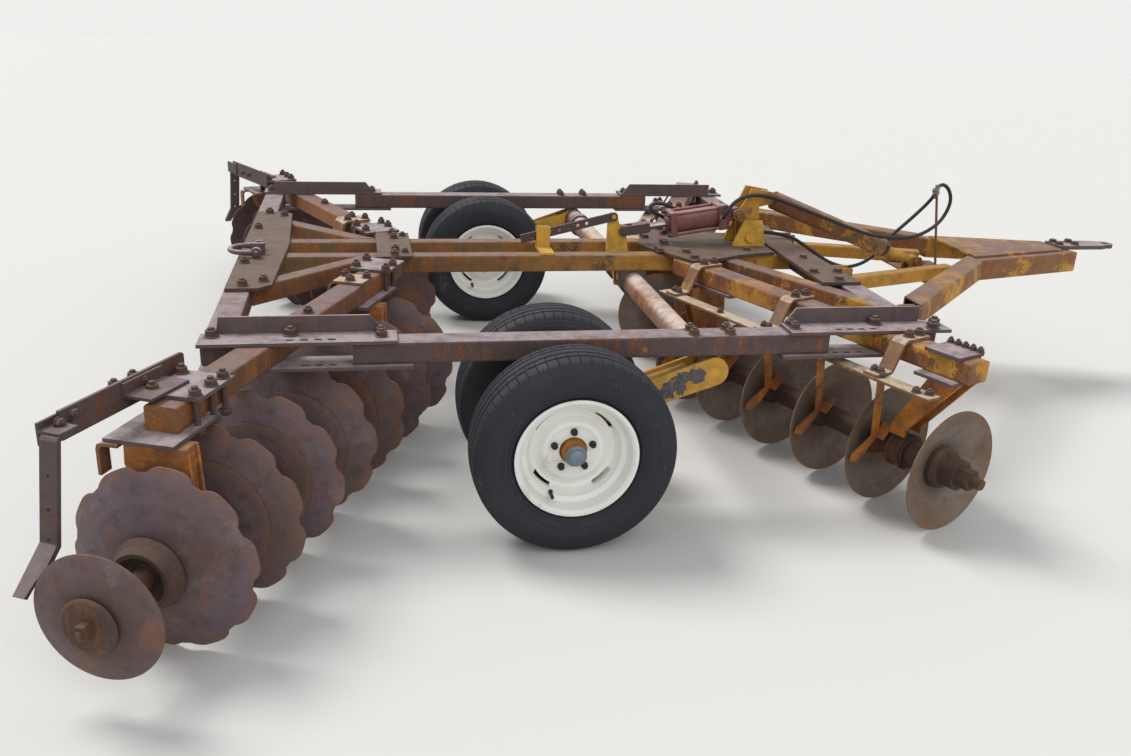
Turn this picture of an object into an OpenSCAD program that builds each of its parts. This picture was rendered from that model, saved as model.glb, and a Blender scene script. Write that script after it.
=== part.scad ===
// A drawn tandem disc harrow: two front gangs of plain dished discs that throw soil out,
// two wider rear gangs of notched discs that throw it back in, a frame of square tube,
// twin transport wheels on each side and a hydraulic lift that also levels the drawbar.
// Millimetres. +X is the way the machine is pulled, +Z is up, Y = 0 is its middle.
// Stations along X are first measured from one fixed point and then shifted by x_mid,
// so that the middle of the whole machine lies at X = 0 and the ground at Z = 0.

/* [Frame] */
// Height of the top face of the main frame above the ground
frame_top = 675; // [500:5:900]
// Distance of each side rail from the middle of the machine
rail_y = 1315; // [900:5:1800]
// Width of the frame tubes
tube_w = 102; // [60:1:150]
// Height of the frame tubes
tube_h = 76; // [50:1:150]
// Wall of the frame tubes
tube_wall = 7; // [4:0.5:12]
// Rear end of each side rail tube
rail_x0 = -640; // [-900:5:-300]
// Front end of each side rail tube
rail_x1 = 1060; // [800:5:1400]
// Distance of the two inner rails from the middle
inner_rail_y = 135; // [90:5:300]
// Width of the inner rails
inner_rail_w = 76; // [50:1:120]
// Front end of the inner rails
inner_rail_x1 = 782; // [600:2:1000]
// Middle of the rear cross beam
rear_beam_x = -1080; // [-1300:5:-900]
// Middle of the front cross beam
front_beam_x = 1448; // [1200:4:1700]

/* [Rail ends] */
// Thickness of the flat plates over and under the rail ends
plate_t = 12; // [6:1:20]
// Width of these plates
plate_w = 120; // [80:2:180]
// Height of the upright edge of each top plate
lip_h = 58; // [30:1:90]
// Bolt holes in a row beside the gang beam
slot_count = 4; // [2:1:8]

/* [Gangs] */
// Angle of every gang from square across the machine
gang_angle = 22.2; // [10:0.1:30]
// Spacing of the discs along a gang
disc_gap = 289; // [180:1:350]
// Thickness of the discs
disc_t = 6; // [4:0.5:10]
// Notched discs on each rear gang
rear_count = 7; // [3:1:9]
// Radius of the notched discs
rear_r = 282; // [200:1:350]
// Hollow of the notched discs
rear_dish = 75; // [30:1:110]
// Notches around each notched disc
notch_count = 10; // [6:1:14]
// Radius of a notch
notch_r = 56; // [30:1:90]
// Depth of a notch
notch_depth = 17; // [6:1:40]
// Station of the outermost notched disc's hub
rear_hub_x = -1185; // [-1400:1:-900]
// Distance of that hub from the middle of the machine
rear_hub_y = 2100; // [1600:1:2400]
// Backing dishes behind the notched discs, counted from the second disc
backing_count = 5; // [0:1:7]
// Radius of a backing dish
backing_r = 192; // [100:1:230]
// Hollow of a backing dish
backing_dish = 26; // [5:1:60]
// Radius of the small plain end disc
end_disc_r = 180; // [100:1:230]
// Hollow of the small end disc
end_disc_dish = 30; // [10:1:60]
// Spacing from the outermost notched disc to the end disc
end_gap = 258; // [150:1:320]
// Plain discs on each front gang
front_count = 6; // [3:1:9]
// Radius of the plain discs
front_r = 230; // [180:1:300]
// Hollow of the plain discs
front_dish = 58; // [20:1:90]
// Station of the outermost plain disc's hub
front_hub_x = 1445; // [1200:1:1700]
// Distance of that hub from the middle of the machine
front_hub_y = 1572; // [1200:1:1900]
// Side of the square gang bolt
gang_bolt = 32; // [20:1:45]
// Radius of the bell end of a spool, against the convex side of a disc
bell_r = 98; // [50:1:130]
// Radius of the plain end of a spool, in the hollow of a disc
cup_r = 60; // [40:1:100]
// Radius of a spool's neck
neck_r = 44; // [30:1:70]

/* [Wheels] */
// Station of the wheels
wheel_x = 80; // [-100:5:300]
// Radius of a tyre
tyre_r = 352; // [280:1:450]
// Width of a tyre
tyre_w = 222; // [150:1:280]
// Distance of each tyre's middle from its side rail
dual_offset = 247; // [180:1:330]
// Radius of a rim's outer flange
rim_r = 211; // [160:1:260]
// Width of a rim over its flanges
rim_w = 190; // [120:1:240]
// Bolt holes of a rim
rim_bolts = 5; // [4:1:8]
// Radius of the wheel bolt circle
rim_bolt_pcr = 69; // [40:0.5:90]
// Radius of the hole in the middle of a rim
hub_hole_r = 48; // [30:1:70]

/* [Lift] */
// Station of the lift shaft
shaft_x = 632; // [400:2:800]
// Height of the lift shaft
shaft_z = 538; // [400:2:600]
// Radius of the lift shaft tube
shaft_r = 50; // [30:1:70]
// Width of a wheel arm over its two side plates
arm_w = 96; // [60:1:140]
// Height of the deck plate above the frame's top
deck_t = 14; // [8:1:25]
// Station of the mast's pivot
mast_x = 1222; // [1000:2:1400]
// Height of the mast's pivot
mast_z = 738; // [700:1:800]
// Radius of the cylinder's barrel
barrel_r = 50; // [30:1:80]
// Radius of the cylinder's rod
rod_r = 16; // [8:1:30]

/* [Drawbar] */
// Station of the drawbar's pivots
hitch_pivot_x = 1556; // [1400:2:1700]
// Height of the drawbar's pivots
hitch_pivot_z = 622; // [560:2:700]
// Station of the drawbar's front hole
hitch_hole_x = 3205; // [2800:5:3600]
// Radius of the drawbar's front hole
hitch_hole_r = 17; // [10:0.5:30]
// Distance of the outer legs from the middle at their pivots
leg_y = 985; // [700:5:1200]
// Distance of the inner legs from the middle at their pivots
inner_leg_y = 345; // [200:5:500]
// Station where the outer legs come together
leg_bend_x = 2310; // [2100:5:2500]
// Distance of the legs from the middle there
leg_bend_y = 252; // [180:2:320]
// Front end of the legs
leg_end_x = 2960; // [2800:5:3100]
// Depth of the outer legs
leg_h = 92; // [60:1:120]

/* [Scrapers] */
// Height of the underside of a scraper bar above the ground
scraper_z = 556; // [480:2:600]
// Width of a scraper bar
scraper_bar_w = 64; // [40:1:90]
// Thickness of a scraper bar
scraper_bar_t = 10; // [6:1:16]

/* [Hidden] */
$fn = 40;
run_gap = 0.08;          // radial clearance of a turning fit
near = 0.5;              // gap between pieces that only bear on each other
end_cap = 6;             // plate that closes the end of a frame tube
ga = gang_angle;
x_rear_end = -1482.7;    // rear edge of the feet at the rear corners
x_front_end = 3245;      // tip of the hitch tongue
x_mid = (x_rear_end + x_front_end) / 2;
tube_mid_z = frame_top - tube_h / 2;
under_z = frame_top - tube_h;
rear_z = rear_r;         // both gangs stand on the ground
front_z = front_r;
arm_len = norm([shaft_x - wheel_x, shaft_z - tyre_r]);
arm_tilt = atan2(shaft_z - tyre_r, shaft_x - wheel_x);

// Middle line of a gang, as a point at a given distance from the middle of the machine
function rear_line(y) = rear_hub_x + (rear_hub_y - y) * tan(ga);
function front_line(y) = front_hub_x - (front_hub_y - y) * tan(ga);

module at_origin() { translate([-x_mid, 0, 0]) children(); }
module both() {
    children();
    mirror([0, 1, 0]) children();
}

// Outline of a square tube with corners rounded in three steps
function tube_pts(w, h, r) = [
    for (q = [0:3]) for (s = [0:2])
        let (a = q * 90 + s * 45,
             sx = (q == 0 || q == 3) ? 1 : -1,
             sy = (q < 2) ? 1 : -1)
        [sx * (w / 2 - r) + r * cos(a), sy * (h / 2 - r) + r * sin(a)]
];

// A tube that lies level between two points of its middle line, with its first end closed if cap > 0
module tube(p, q, top, w, h, wall, cap = 0) {
    d = q - p;
    translate([p[0], p[1], top - h / 2])
        rotate([0, 0, atan2(d[1], d[0])])
            rotate([90, 0, 90])
                difference() {
                    linear_extrude(norm(d)) polygon(tube_pts(w, h, 8));
                    translate([0, 0, cap > 0 ? cap : -1])
                        linear_extrude(norm(d) + 2) polygon(tube_pts(w - 2 * wall, h - 2 * wall, 3));
                }
}

// A flat plate with a given outline, from height z upwards
module slab(pts, z, t) {
    translate([0, 0, z]) linear_extrude(t) polygon(pts);
}

// A plate that stands upright along X, with its outline in X and Z
module upright(pts, y, t) {
    translate([0, y + t / 2, 0]) rotate([90, 0, 0]) linear_extrude(t) polygon(pts);
}

module rod_between(p, q, r) {
    d = q - p;
    translate(p)
        rotate([0, acos(d[2] / norm(d)), atan2(d[1], d[0])])
            cylinder(r = r, h = norm(d));
}

// A round bar across the machine
module cross_pin(x, z, r, y0, y1) {
    translate([x, y1, z]) rotate([90, 0, 0]) cylinder(r = r, h = y1 - y0);
}

// Places a piece in a gang of the right-hand side: local +Z runs outward along its bolt
module rear_gang() { translate([rear_hub_x, -rear_hub_y, rear_z]) rotate([90, 0, -ga]) children(); }
module front_gang() { translate([front_hub_x, -front_hub_y, front_z]) rotate([90, 0, ga]) children(); }

// Side rails and cross beams
module side_rails() {
    color([0.42, 0.27, 0.19]) at_origin() both()
        tube([rail_x0, -rail_y], [rail_x1, -rail_y], frame_top, tube_w, tube_h, tube_wall);
}

module rail_end_plates() {
    color([0.33, 0.26, 0.25]) at_origin() both() {
        rail_end(rail_rear_plate, rail_rear_lip, rail_rear_under, -1);
        rail_end(rail_front_plate, rail_front_lip, rail_front_under, 1);
    }
}
// Start and end along X of each plate, its upright edge and the plate below it
rail_rear_plate = [-1135, -492];
rail_rear_lip = [-1085, -580];
rail_rear_under = [-1135, -440];
rail_front_plate = [905, 1530];
rail_front_lip = [960, 1450];
rail_front_under = [880, 1530];

module rail_end(top, lip, under, way) {
    y0 = -rail_y - plate_w / 2 - 10;
    gap_x = way < 0 ? top[1] - 215 : top[0] + 190;
    difference() {
        translate([top[0], y0, frame_top + near]) cube([top[1] - top[0], plate_w, plate_t]);
        for (i = [0:slot_count - 1])
            translate([gap_x + i * way * 45 - 12, y0 + 24, frame_top - 1]) cube([24, 14, plate_t + 3]);
    }
    edge = way < 0
        ? [[lip[0], 0], [lip[1] + 45, 0], [lip[1], lip_h], [lip[0] + 10, lip_h]]
        : [[lip[0] - 45, 0], [lip[1], 0], [lip[1], lip_h], [lip[0], lip_h]];
    translate([0, 0, frame_top + near + plate_t + 0.3])
        upright(edge, y0 + plate_w - 6, 10);
    difference() {
        translate([under[0], y0, under_z - near - plate_t]) cube([under[1] - under[0], plate_w, plate_t]);
        for (i = [0:slot_count - 2])
            translate([gap_x + i * way * 45 - 12, y0 + 24, under_z - plate_t - 2]) cube([24, 14, plate_t + 3]);
    }
}

module cross_beams() {
    color([0.45, 0.3, 0.2]) at_origin()
        for (x = [rear_beam_x, front_beam_x]) both()
            tube([x, -rail_y - 20], [x, 0], frame_top, tube_w, tube_h, tube_wall, end_cap);
}

// Inner rails run from the rear beam past the lift shaft to the front beam
module inner_rails() {
    color([0.5, 0.36, 0.16]) at_origin() both() {
        tube([rear_beam_x + tube_w / 2 + near, -inner_rail_y], [inner_rail_x1, -inner_rail_y],
             frame_top, inner_rail_w, tube_h, tube_wall);
        tube([inner_rail_x1 + near, -inner_rail_y], [front_beam_x - tube_w / 2 - near, -inner_rail_y],
             frame_top, inner_rail_w, tube_h, tube_wall);
    }
}

module braces() {
    rear_braces();
    front_braces();
}
module rear_braces() {
    color([0.5, 0.32, 0.18]) at_origin() both()
        difference() {
            tube([-1060, -648], [-560, -150], frame_top, inner_rail_w, tube_h, tube_wall);
            translate([rear_beam_x - 100, -900, 0]) cube([100 + tube_w / 2 + near, 600, 1000]);
            translate([-900, -inner_rail_y - inner_rail_w / 2 - near, 0]) cube([900, 400, 1000]);
        }
}

module front_braces() {
    color([0.4, 0.3, 0.26]) at_origin() both()
        difference() {
            tube([1010, -150], [1440, -1010], frame_top, inner_rail_w, tube_h, tube_wall);
            translate([front_beam_x - tube_w / 2 - near, -1400, 0]) cube([300, 900, 1000]);
            translate([800, -178, 0]) cube([400, 400, 1000]);
        }
}

// Flat plates that tie the tubes together
rear_plate_pts = [[-1122, -724], [-1000, -724], [-950, -672], [-925, 0], [-950, 672], [-1000, 724], [-1122, 724]];
module rear_hitch_plate() {
    difference() {
        slab(rear_plate_pts, frame_top + near, deck_t);
        translate([-1040, 0, frame_top - 1]) cylinder(r = 16, h = deck_t + 6);
    }
}

deck_pts = [[692, -40], [858, -346], [1010, -300], [1110, -240], [1306, -186],
            [1306, 186], [1110, 240], [1010, 300], [858, 346], [692, 40]];
centre_pts = [[-540, -242], [-388, -228], [-388, 228], [-540, 242]];
front_plate_pts = [[1310, -727], [1486, -727], [1472, 0], [1486, 727], [1310, 727], [1328, 0]];
module deck_plates() {
    color([0.45, 0.38, 0.34]) at_origin() {
        rear_hitch_plate();
        slab(centre_pts, frame_top + near, deck_t);
        slab(deck_pts, frame_top + near, deck_t);
        slab(front_plate_pts, frame_top + near, deck_t);
    }
}

// A shackle lies on the rear plate, held by a bolt through its eyes and an upright lug
shackle_pin = [-1044, -178];
shackle_r = 11;
shackle_w = 136;
module rear_clevis() {
    plate_top = frame_top + near + deck_t;
    z = plate_top + 22.3;
    half = shackle_w / 2;
    color([0.25, 0.19, 0.18]) at_origin() translate([shackle_pin[0], shackle_pin[1], z]) {
        difference() {
            union() {
                translate([-46, 0, 0]) rotate([0, 0, 90])
                    rotate_extrude(angle = 180) translate([half, 0]) circle(r = shackle_r, $fn = 20);
                for (s = [-1, 1]) {
                    translate([-54, s * half, 0]) rotate([0, 90, 0]) cylinder(r = shackle_r + 1.5, h = 46, $fn = 20);
                    translate([0, s * half + 11, 0]) rotate([90, 0, 0]) cylinder(r = 22, h = 22);
                }
            }
            cross_pin(0, 0, 10.1, -120, 120);
        }
        cross_pin(0, 0, 10, -half - 30, half + 26);
        translate([0, half + 11.3, 0]) rotate([-90, 0, 0]) rotate_extrude() polygon([[10.3, 0], [17, 0], [17, 13], [10.3, 13]]);
        difference() {
            translate([-30, -9, -22]) cube([60, 18, 48]);
            cross_pin(0, 0, 10.1, -20, 20);
        }
    }
}

// Gang beams, with the clamps and hangers that carry the gangs
rear_beam_out = [-1162, -1878];
rear_beam_in = [-482, -212];
front_beam_out = [1453, -1707];
front_beam_in = [845, -218];

module gang_beams() {
    color([0.44, 0.29, 0.2]) at_origin() both() {
        tube(rear_beam_out, rear_beam_in, frame_top, tube_w, tube_h, tube_wall, end_cap);
        tube(front_beam_out, front_beam_in, frame_top, tube_w, tube_h, tube_wall, end_cap);
    }
}

// Clamp plates: middle along X and Y, turn, length and width of the upper plate, length and
// width of the lower plate, and how far its middle lies behind and further out than the upper's
cl_x = 0;
cl_y = 1;
cl_turn = 2;
cl_len = 3;
cl_w = 4;
cl_low_len = 5;
cl_low_w = 6;
cl_low_back = 7;
cl_low_out = 8;
clamps = [
    [-1100, -1736, 1, 200, 172, 235, 214, 28, 120],
    [-541, -357, 1, 190, 170, 330, 170, 0, 176],
    [1415, -1601, -1, 145, 135, 160, 190, 0, 0],
    [952, -441, -1, 0, 0, 300, 140, 0, 0]
];
module clamp_plate(c, z, l, w, back, out) {
    translate([c[cl_x], c[cl_y], z]) rotate([0, 0, c[cl_turn] > 0 ? 90 - ga : 90 + ga])
        translate([-l / 2 - out, back - w / 2, 0]) cube([l, w, plate_t]);
}
module clamp_pair(c) {
    if (c[cl_len] > 0) clamp_plate(c, frame_top + near, c[cl_len], c[cl_w], 0, 0);
    clamp_plate(c, under_z - near - plate_t, c[cl_low_len], c[cl_low_w], c[cl_low_back], c[cl_low_out]);
}
module gang_clamps() {
    color([0.35, 0.28, 0.27]) at_origin() both()
        for (c = clamps) clamp_pair(c);
}

// Bearing housings round the spools: place along the gang measured from the outermost hub
neck_mid = 153;
rear_bearing = [-176, -176 - (rear_count - 2) * disc_gap];
front_bearing = [-neck_mid, -neck_mid - (front_count - 2) * disc_gap];
bearing_r = 62;
bearing_w = 80;
module bearing_at(z) {
    translate([0, 0, z - bearing_w / 2])
        difference() {
            union() {
                cylinder(r = bearing_r, h = bearing_w);
                translate([0, 0, 8]) cylinder(r = bearing_r + 8, h = 14);
                translate([0, 0, bearing_w - 22]) cylinder(r = bearing_r + 8, h = 14);
            }
            translate([0, 0, -1]) cylinder(r = neck_r + run_gap, h = bearing_w + 2);
        }
}
module gang_bearings() {
    color([0.28, 0.21, 0.17]) at_origin() both() {
        rear_gang() for (z = rear_bearing) bearing_at(z);
        front_gang() for (z = front_bearing) bearing_at(z);
    }
}

// A hanger hangs under the clamp's lower plate: two side plates and a web, down to the bearing
hanger_back = -140;
hanger_fore = 52;
module hanger_at(z, axle_z) {
    top = under_z - plate_t - 2 * near - axle_z;
    foot = bearing_r + 8.5;
    for (s = [-1, 1])
        translate([0, 0, z + s * (bearing_w / 2 - 15)])
            linear_extrude(12, center = true)
                polygon([[hanger_back, top], [hanger_fore, top], [66, foot], [-66, foot],
                         [-84, foot + 60], [hanger_back - 4, top - 66]]);
    translate([0, 0, z])
        linear_extrude(bearing_w - 44, center = true)
            polygon([[-48, top], [48, top], [48, foot + 30], [-48, foot + 30]]);
}
// The outer front hanger leans: its foot is further in than the clamp above it
module leaning_hanger(z, top_in, top_out) {
    top = under_z - plate_t - 2 * near - front_z;
    foot = bearing_r + 8.5;
    for (s = [-1, 1])
        translate([s * 46, 0, 0]) rotate([0, -90, 0])
            linear_extrude(14, center = true)
                polygon([[top_in, top], [top_out, top], [z + 32, foot + 26], [z + 32, foot], [z - 32, foot], [z - 32, foot + 40]]);
    rotate([0, -90, 0]) linear_extrude(78, center = true)
        polygon([[top_in + 34, top - 4], [top_in + 46, top - 4], [z - 6, foot + 10], [z - 18, foot + 10]]);
}
module gang_hangers() {
    color([0.7, 0.45, 0.12]) at_origin() both() {
        rear_gang() for (z = rear_bearing) hanger_at(z, rear_z);
        front_gang() {
            hanger_at(front_bearing[1], front_z);
            leaning_hanger(front_bearing[0], -44, 84);
        }
    }
}

// Discs
function dish_z(r, rr, depth) =
    let (s = (rr * rr + depth * depth) / (2 * depth)) s - sqrt(s * s - r * r);
// Dished plate with its hub's outer face at z = 0 and its rim at z = -depth
module dish(rr, depth, hole) {
    seat = 62;
    steps = 5;
    z0 = dish_z(seat, rr, depth);
    k = depth / (dish_z(rr, rr, depth) - z0);
    rotate_extrude($fn = 72)
        polygon(concat(
            [[hole, -disc_t], [hole, 0]],
            [for (i = [0:steps]) let (r = seat + (rr - seat) * i / steps)
                [r, -k * (dish_z(r, rr, depth) - z0)]],
            [for (i = [steps:-1:0]) let (r = seat + (rr - seat) * i / steps)
                [r, -k * (dish_z(r, rr, depth) - z0) - disc_t]]));
}
// A notch runs into the rim on both sides in a round shoulder of the radius tip_r
tip_r = notch_r;
notch_at = rear_r + notch_r - notch_depth;
tip_at = rear_r - tip_r;
tip_turn = acos((notch_at * notch_at + tip_at * tip_at - pow(notch_r + tip_r, 2)) / (2 * notch_at * tip_at));
module notch_outline() {
    tip = tip_at * [cos(tip_turn), sin(tip_turn)];
    rim = (rear_r + 0.4) * [cos(tip_turn), sin(tip_turn)];
    difference() {
        union() {
            translate([notch_at, 0]) circle(r = notch_r);
            polygon([[notch_at, 0], rim, tip, [tip[0], -tip[1]], [rim[0], -rim[1]]]);
        }
        for (m = [-1, 1]) translate([tip[0], m * tip[1]]) circle(r = tip_r + 0.2);
        translate([-rear_r, -rear_r]) square([rear_r + notch_at - notch_r, 2 * rear_r]);
    }
}
module notched_disc() {
    difference() {
        dish(rear_r, rear_dish, gang_bolt * 0.72);
        for (i = [0:notch_count - 1])
            rotate([0, 0, (i + 0.5) * 360 / notch_count + 9])
                translate([0, 0, -rear_dish - 30]) linear_extrude(60 + rear_dish) notch_outline();
    }
}
module rear_disc_set() {
    rear_gang() for (i = [0:rear_count - 1])
        translate([0, 0, -i * disc_gap]) rotate([0, 0, i * 11]) notched_disc();
}
module rear_end_set() {
    rear_gang() {
        translate([0, 0, end_gap]) dish(end_disc_r, end_disc_dish, gang_bolt * 0.72);
        for (i = [1:backing_count])
            translate([0, 0, -i * disc_gap + disc_t + near]) dish(backing_r, backing_dish, gang_bolt * 0.72);
    }
}
module front_disc_set() {
    front_gang() for (i = [0:front_count - 1])
        translate([0, 0, -i * disc_gap]) mirror([0, 0, 1]) dish(front_r, front_dish, gang_bolt * 0.72);
}

// A spool between z = a (bell end) and z = b (cup end), bored for the square bolt
module spool(a, b, bell) {
    s = b > a ? 1 : -1;
    l = abs(b - a);
    translate([0, 0, a]) mirror([0, 0, s < 0 ? 1 : 0])
        rotate_extrude($fn = 48)
            polygon([[gang_bolt * 0.72, 0], [bell, 0], [bell, 10], [bell - 12, 22], [bell - 28, 30],
                     [bell - 30, 42], [neck_r + 4, 62], [neck_r, 64], [neck_r, l - 40],
                     [cup_r - 8, l - 24], [cup_r, l - 14], [cup_r, l], [gang_bolt * 0.72, l]]);
}
module rear_spool_set() {
    rear_gang() {
        // the outermost bell is an open cup, and its slim neck carries the small end disc
        end_spool(near, end_gap - disc_t - near);
        for (i = [1:rear_count - 1]) {
            seat = i <= backing_count ? disc_t + near : 0;
            spool(-i * disc_gap + seat + near, -(i - 1) * disc_gap - disc_t - near, bell_r);
        }
        gang_bolt_bar(-(rear_count - 1) * disc_gap - disc_t, end_gap, rear_stack);
    }
}
module front_spool_set() {
    front_gang() {
        for (i = [0:front_count - 2])
            spool(-i * disc_gap - near, -(i + 1) * disc_gap + disc_t + near, bell_r);
        gang_bolt_bar(-(front_count - 1) * disc_gap, disc_t, front_stack);
    }
}
module end_spool(a, b) {
    l = b - a;
    translate([0, 0, a]) rotate_extrude($fn = 48)
        polygon([[gang_bolt * 0.72, 0], [bell_r + 9, 0], [bell_r + 9, 8], [bell_r - 3, 22], [bell_r - 12, 40],
                 [bell_r - 14, 52], [bell_r - 26, 52], [bell_r - 28, 36], [bell_r - 40, 22], [slim_r + 6, 14],
                 [slim_r, 22], [slim_r, l - 20], [cup_r - 12, l - 8], [cup_r - 12, l], [gang_bolt * 0.72, l]]);
}
slim_r = 32;
// The stack on the outer end of a gang: flange radius and height, ring radius and height,
// half width of the nut over its corners and its height, stub radius and height
rear_stack = [80, 14, 0, 0, 24, 30, 12, 9.5];
front_stack = [80, 40, 57, 60, 40, 50, 20, 38];
// The square bolt with its end washers and nuts
module gang_bolt_bar(z0, z1, stack) {
    nut_z = stack[1] + stack[3];
    translate([-gang_bolt / 2, -gang_bolt / 2, z0 - 52]) cube([gang_bolt, gang_bolt, z1 - z0 + 52 + near + 4]);
    translate([0, 0, z0 - near]) mirror([0, 0, 1])
        difference() {
            union() {
                rotate_extrude($fn = 40) polygon([[0, 0], [64, 0], [64, 8], [48, 20], [0, 20]]);
                translate([-28, -28, 20]) cube([56, 56, 22]);
            }
            translate([-gang_bolt / 2 - 0.3, -gang_bolt / 2 - 0.3, -1])
                cube([gang_bolt + 0.6, gang_bolt + 0.6, 60]);
        }
    translate([0, 0, z1 + near]) {
        rotate_extrude($fn = 40)
            polygon([[0, 0], [60, 0], [stack[0], 5], [stack[0], stack[1] * 0.55], [stack[0] - 8, stack[1]], [0, stack[1]]]);
        if (stack[3] > 0) translate([0, 0, stack[1]]) cylinder(r = stack[2], h = stack[3]);
        translate([0, 0, nut_z]) cylinder(r = stack[4], h = stack[5], $fn = 6);
        translate([0, 0, nut_z + stack[5]]) cylinder(r = stack[6], h = stack[7]);
    }
}
c_disc = [0.36, 0.27, 0.26];
c_spool = [0.33, 0.25, 0.21];
module rear_discs_right() { color(c_disc) at_origin() rear_disc_set(); }
module rear_discs_left() { color(c_disc) at_origin() mirror([0, 1, 0]) rear_disc_set(); }
module rear_plain_discs_right() { color(c_disc) at_origin() rear_end_set(); }
module rear_plain_discs_left() { color(c_disc) at_origin() mirror([0, 1, 0]) rear_end_set(); }
module rear_spools_right() { color(c_spool) at_origin() rear_spool_set(); }
module rear_spools_left() { color(c_spool) at_origin() mirror([0, 1, 0]) rear_spool_set(); }
module front_discs_right() { color(c_disc) at_origin() front_disc_set(); }
module front_discs_left() { color(c_disc) at_origin() mirror([0, 1, 0]) front_disc_set(); }
module front_spools_right() { color(c_spool) at_origin() front_spool_set(); }
module front_spools_left() { color(c_spool) at_origin() mirror([0, 1, 0]) front_spool_set(); }

// Scraper bars behind the front gangs, each held by strap brackets from the gang beam
front_scraper = [[722, -376], [1280, -1744]];
strap_places = [0.055, 0.44, 0.8266];
strap_t = 11;
strap_w = 62;
module scraper_bars() {
    d = front_scraper[1] - front_scraper[0];
    bar_top = scraper_z + scraper_bar_t;
    color([0.6, 0.47, 0.3]) at_origin() both() {
        translate([front_scraper[0][0], front_scraper[0][1], scraper_z])
            rotate([0, 0, atan2(d[1], d[0])]) translate([0, -scraper_bar_w / 2, 0])
                cube([norm(d), scraper_bar_w, scraper_bar_t]);
        for (k = strap_places) {
            p = front_scraper[0] + d * k;
            translate([p[0], p[1], 0]) rotate([0, 0, ga])
                rotate([90, 0, 0]) linear_extrude(strap_w, center = true)
                    polygon([[-30, bar_top + near], [46, bar_top + near], [58, bar_top + 9], [104, frame_top - 8],
                             [119, frame_top + near], [230, frame_top + near], [230, frame_top + strap_t + near],
                             [113, frame_top + strap_t + near], [95, frame_top - 3], [49, bar_top + 15],
                             [40, bar_top + near + strap_t], [-30, bar_top + near + strap_t]]);
        }
        rear_strap_set();
    }
}
// Each scraper blade hangs on the bar by a slanted stalk and lies in the hollow of its disc
blade_z = front_dish;
blade_t = 8;
blade_lip = 42;
stalk_foot = [-84, 44, blade_z + 3];
stalk = [-217, 326, blade_z + 100] - stalk_foot;
module scrapers() {
    top = scraper_z - near - front_z;
    color([0.55, 0.33, 0.15]) at_origin() both()
        front_gang() for (i = [1:front_count - 1])
            translate([0, 0, -i * disc_gap]) {
                translate([0, 0, blade_z]) linear_extrude(blade_t)
                    polygon([[-205, -34], [-198, -8], [-30, 92], [-78, 38], [-120, -10], [-170, -48]]);
                translate([0, 0, blade_z]) linear_extrude(blade_lip)
                    polygon([[-30, 92], [-78, 38], [-84, 43.3], [-39, 94]]);
                difference() {
                    translate(stalk_foot)
                        rotate([0, acos(stalk[2] / norm(stalk)), atan2(stalk[1], stalk[0])])
                            translate([-5, -17, 0]) cube([10, 34, norm(stalk) + 30]);
                    translate([-400, top, 0]) cube([400, 200, 400]);
                }
            }
}

// Straps of the rear gangs, left without their scraper bar: places along X and Y, width
rear_straps = [[-634, -584, 120]];
module rear_strap_set() {
    for (p = rear_straps)
        translate([p[0], p[1], 0]) rotate([0, 0, -ga]) rotate([90, 0, 0])
            linear_extrude(p[2], center = true)
                polygon([[54, frame_top + near], [54, frame_top + strap_t + near], [-70, frame_top + strap_t + near],
                         [-88, frame_top - 2], [-118, 566], [-108, 560], [-78, 668], [-66, frame_top + near]]);
    // a bent tab under the outer clamp's lower plate
    top = under_z - 2 * near - plate_t;
    translate([-1150, -1953, 0]) rotate([0, 0, -ga]) rotate([90, 0, 0])
        linear_extrude(46, center = true)
            polygon([[-124, top], [-172, top], [-187, top - 6], [-192, top - 20], [-192, 486], [-181, 486],
                     [-181, top - 22], [-172, top - strap_t], [-124, top - strap_t]]);
}

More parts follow.
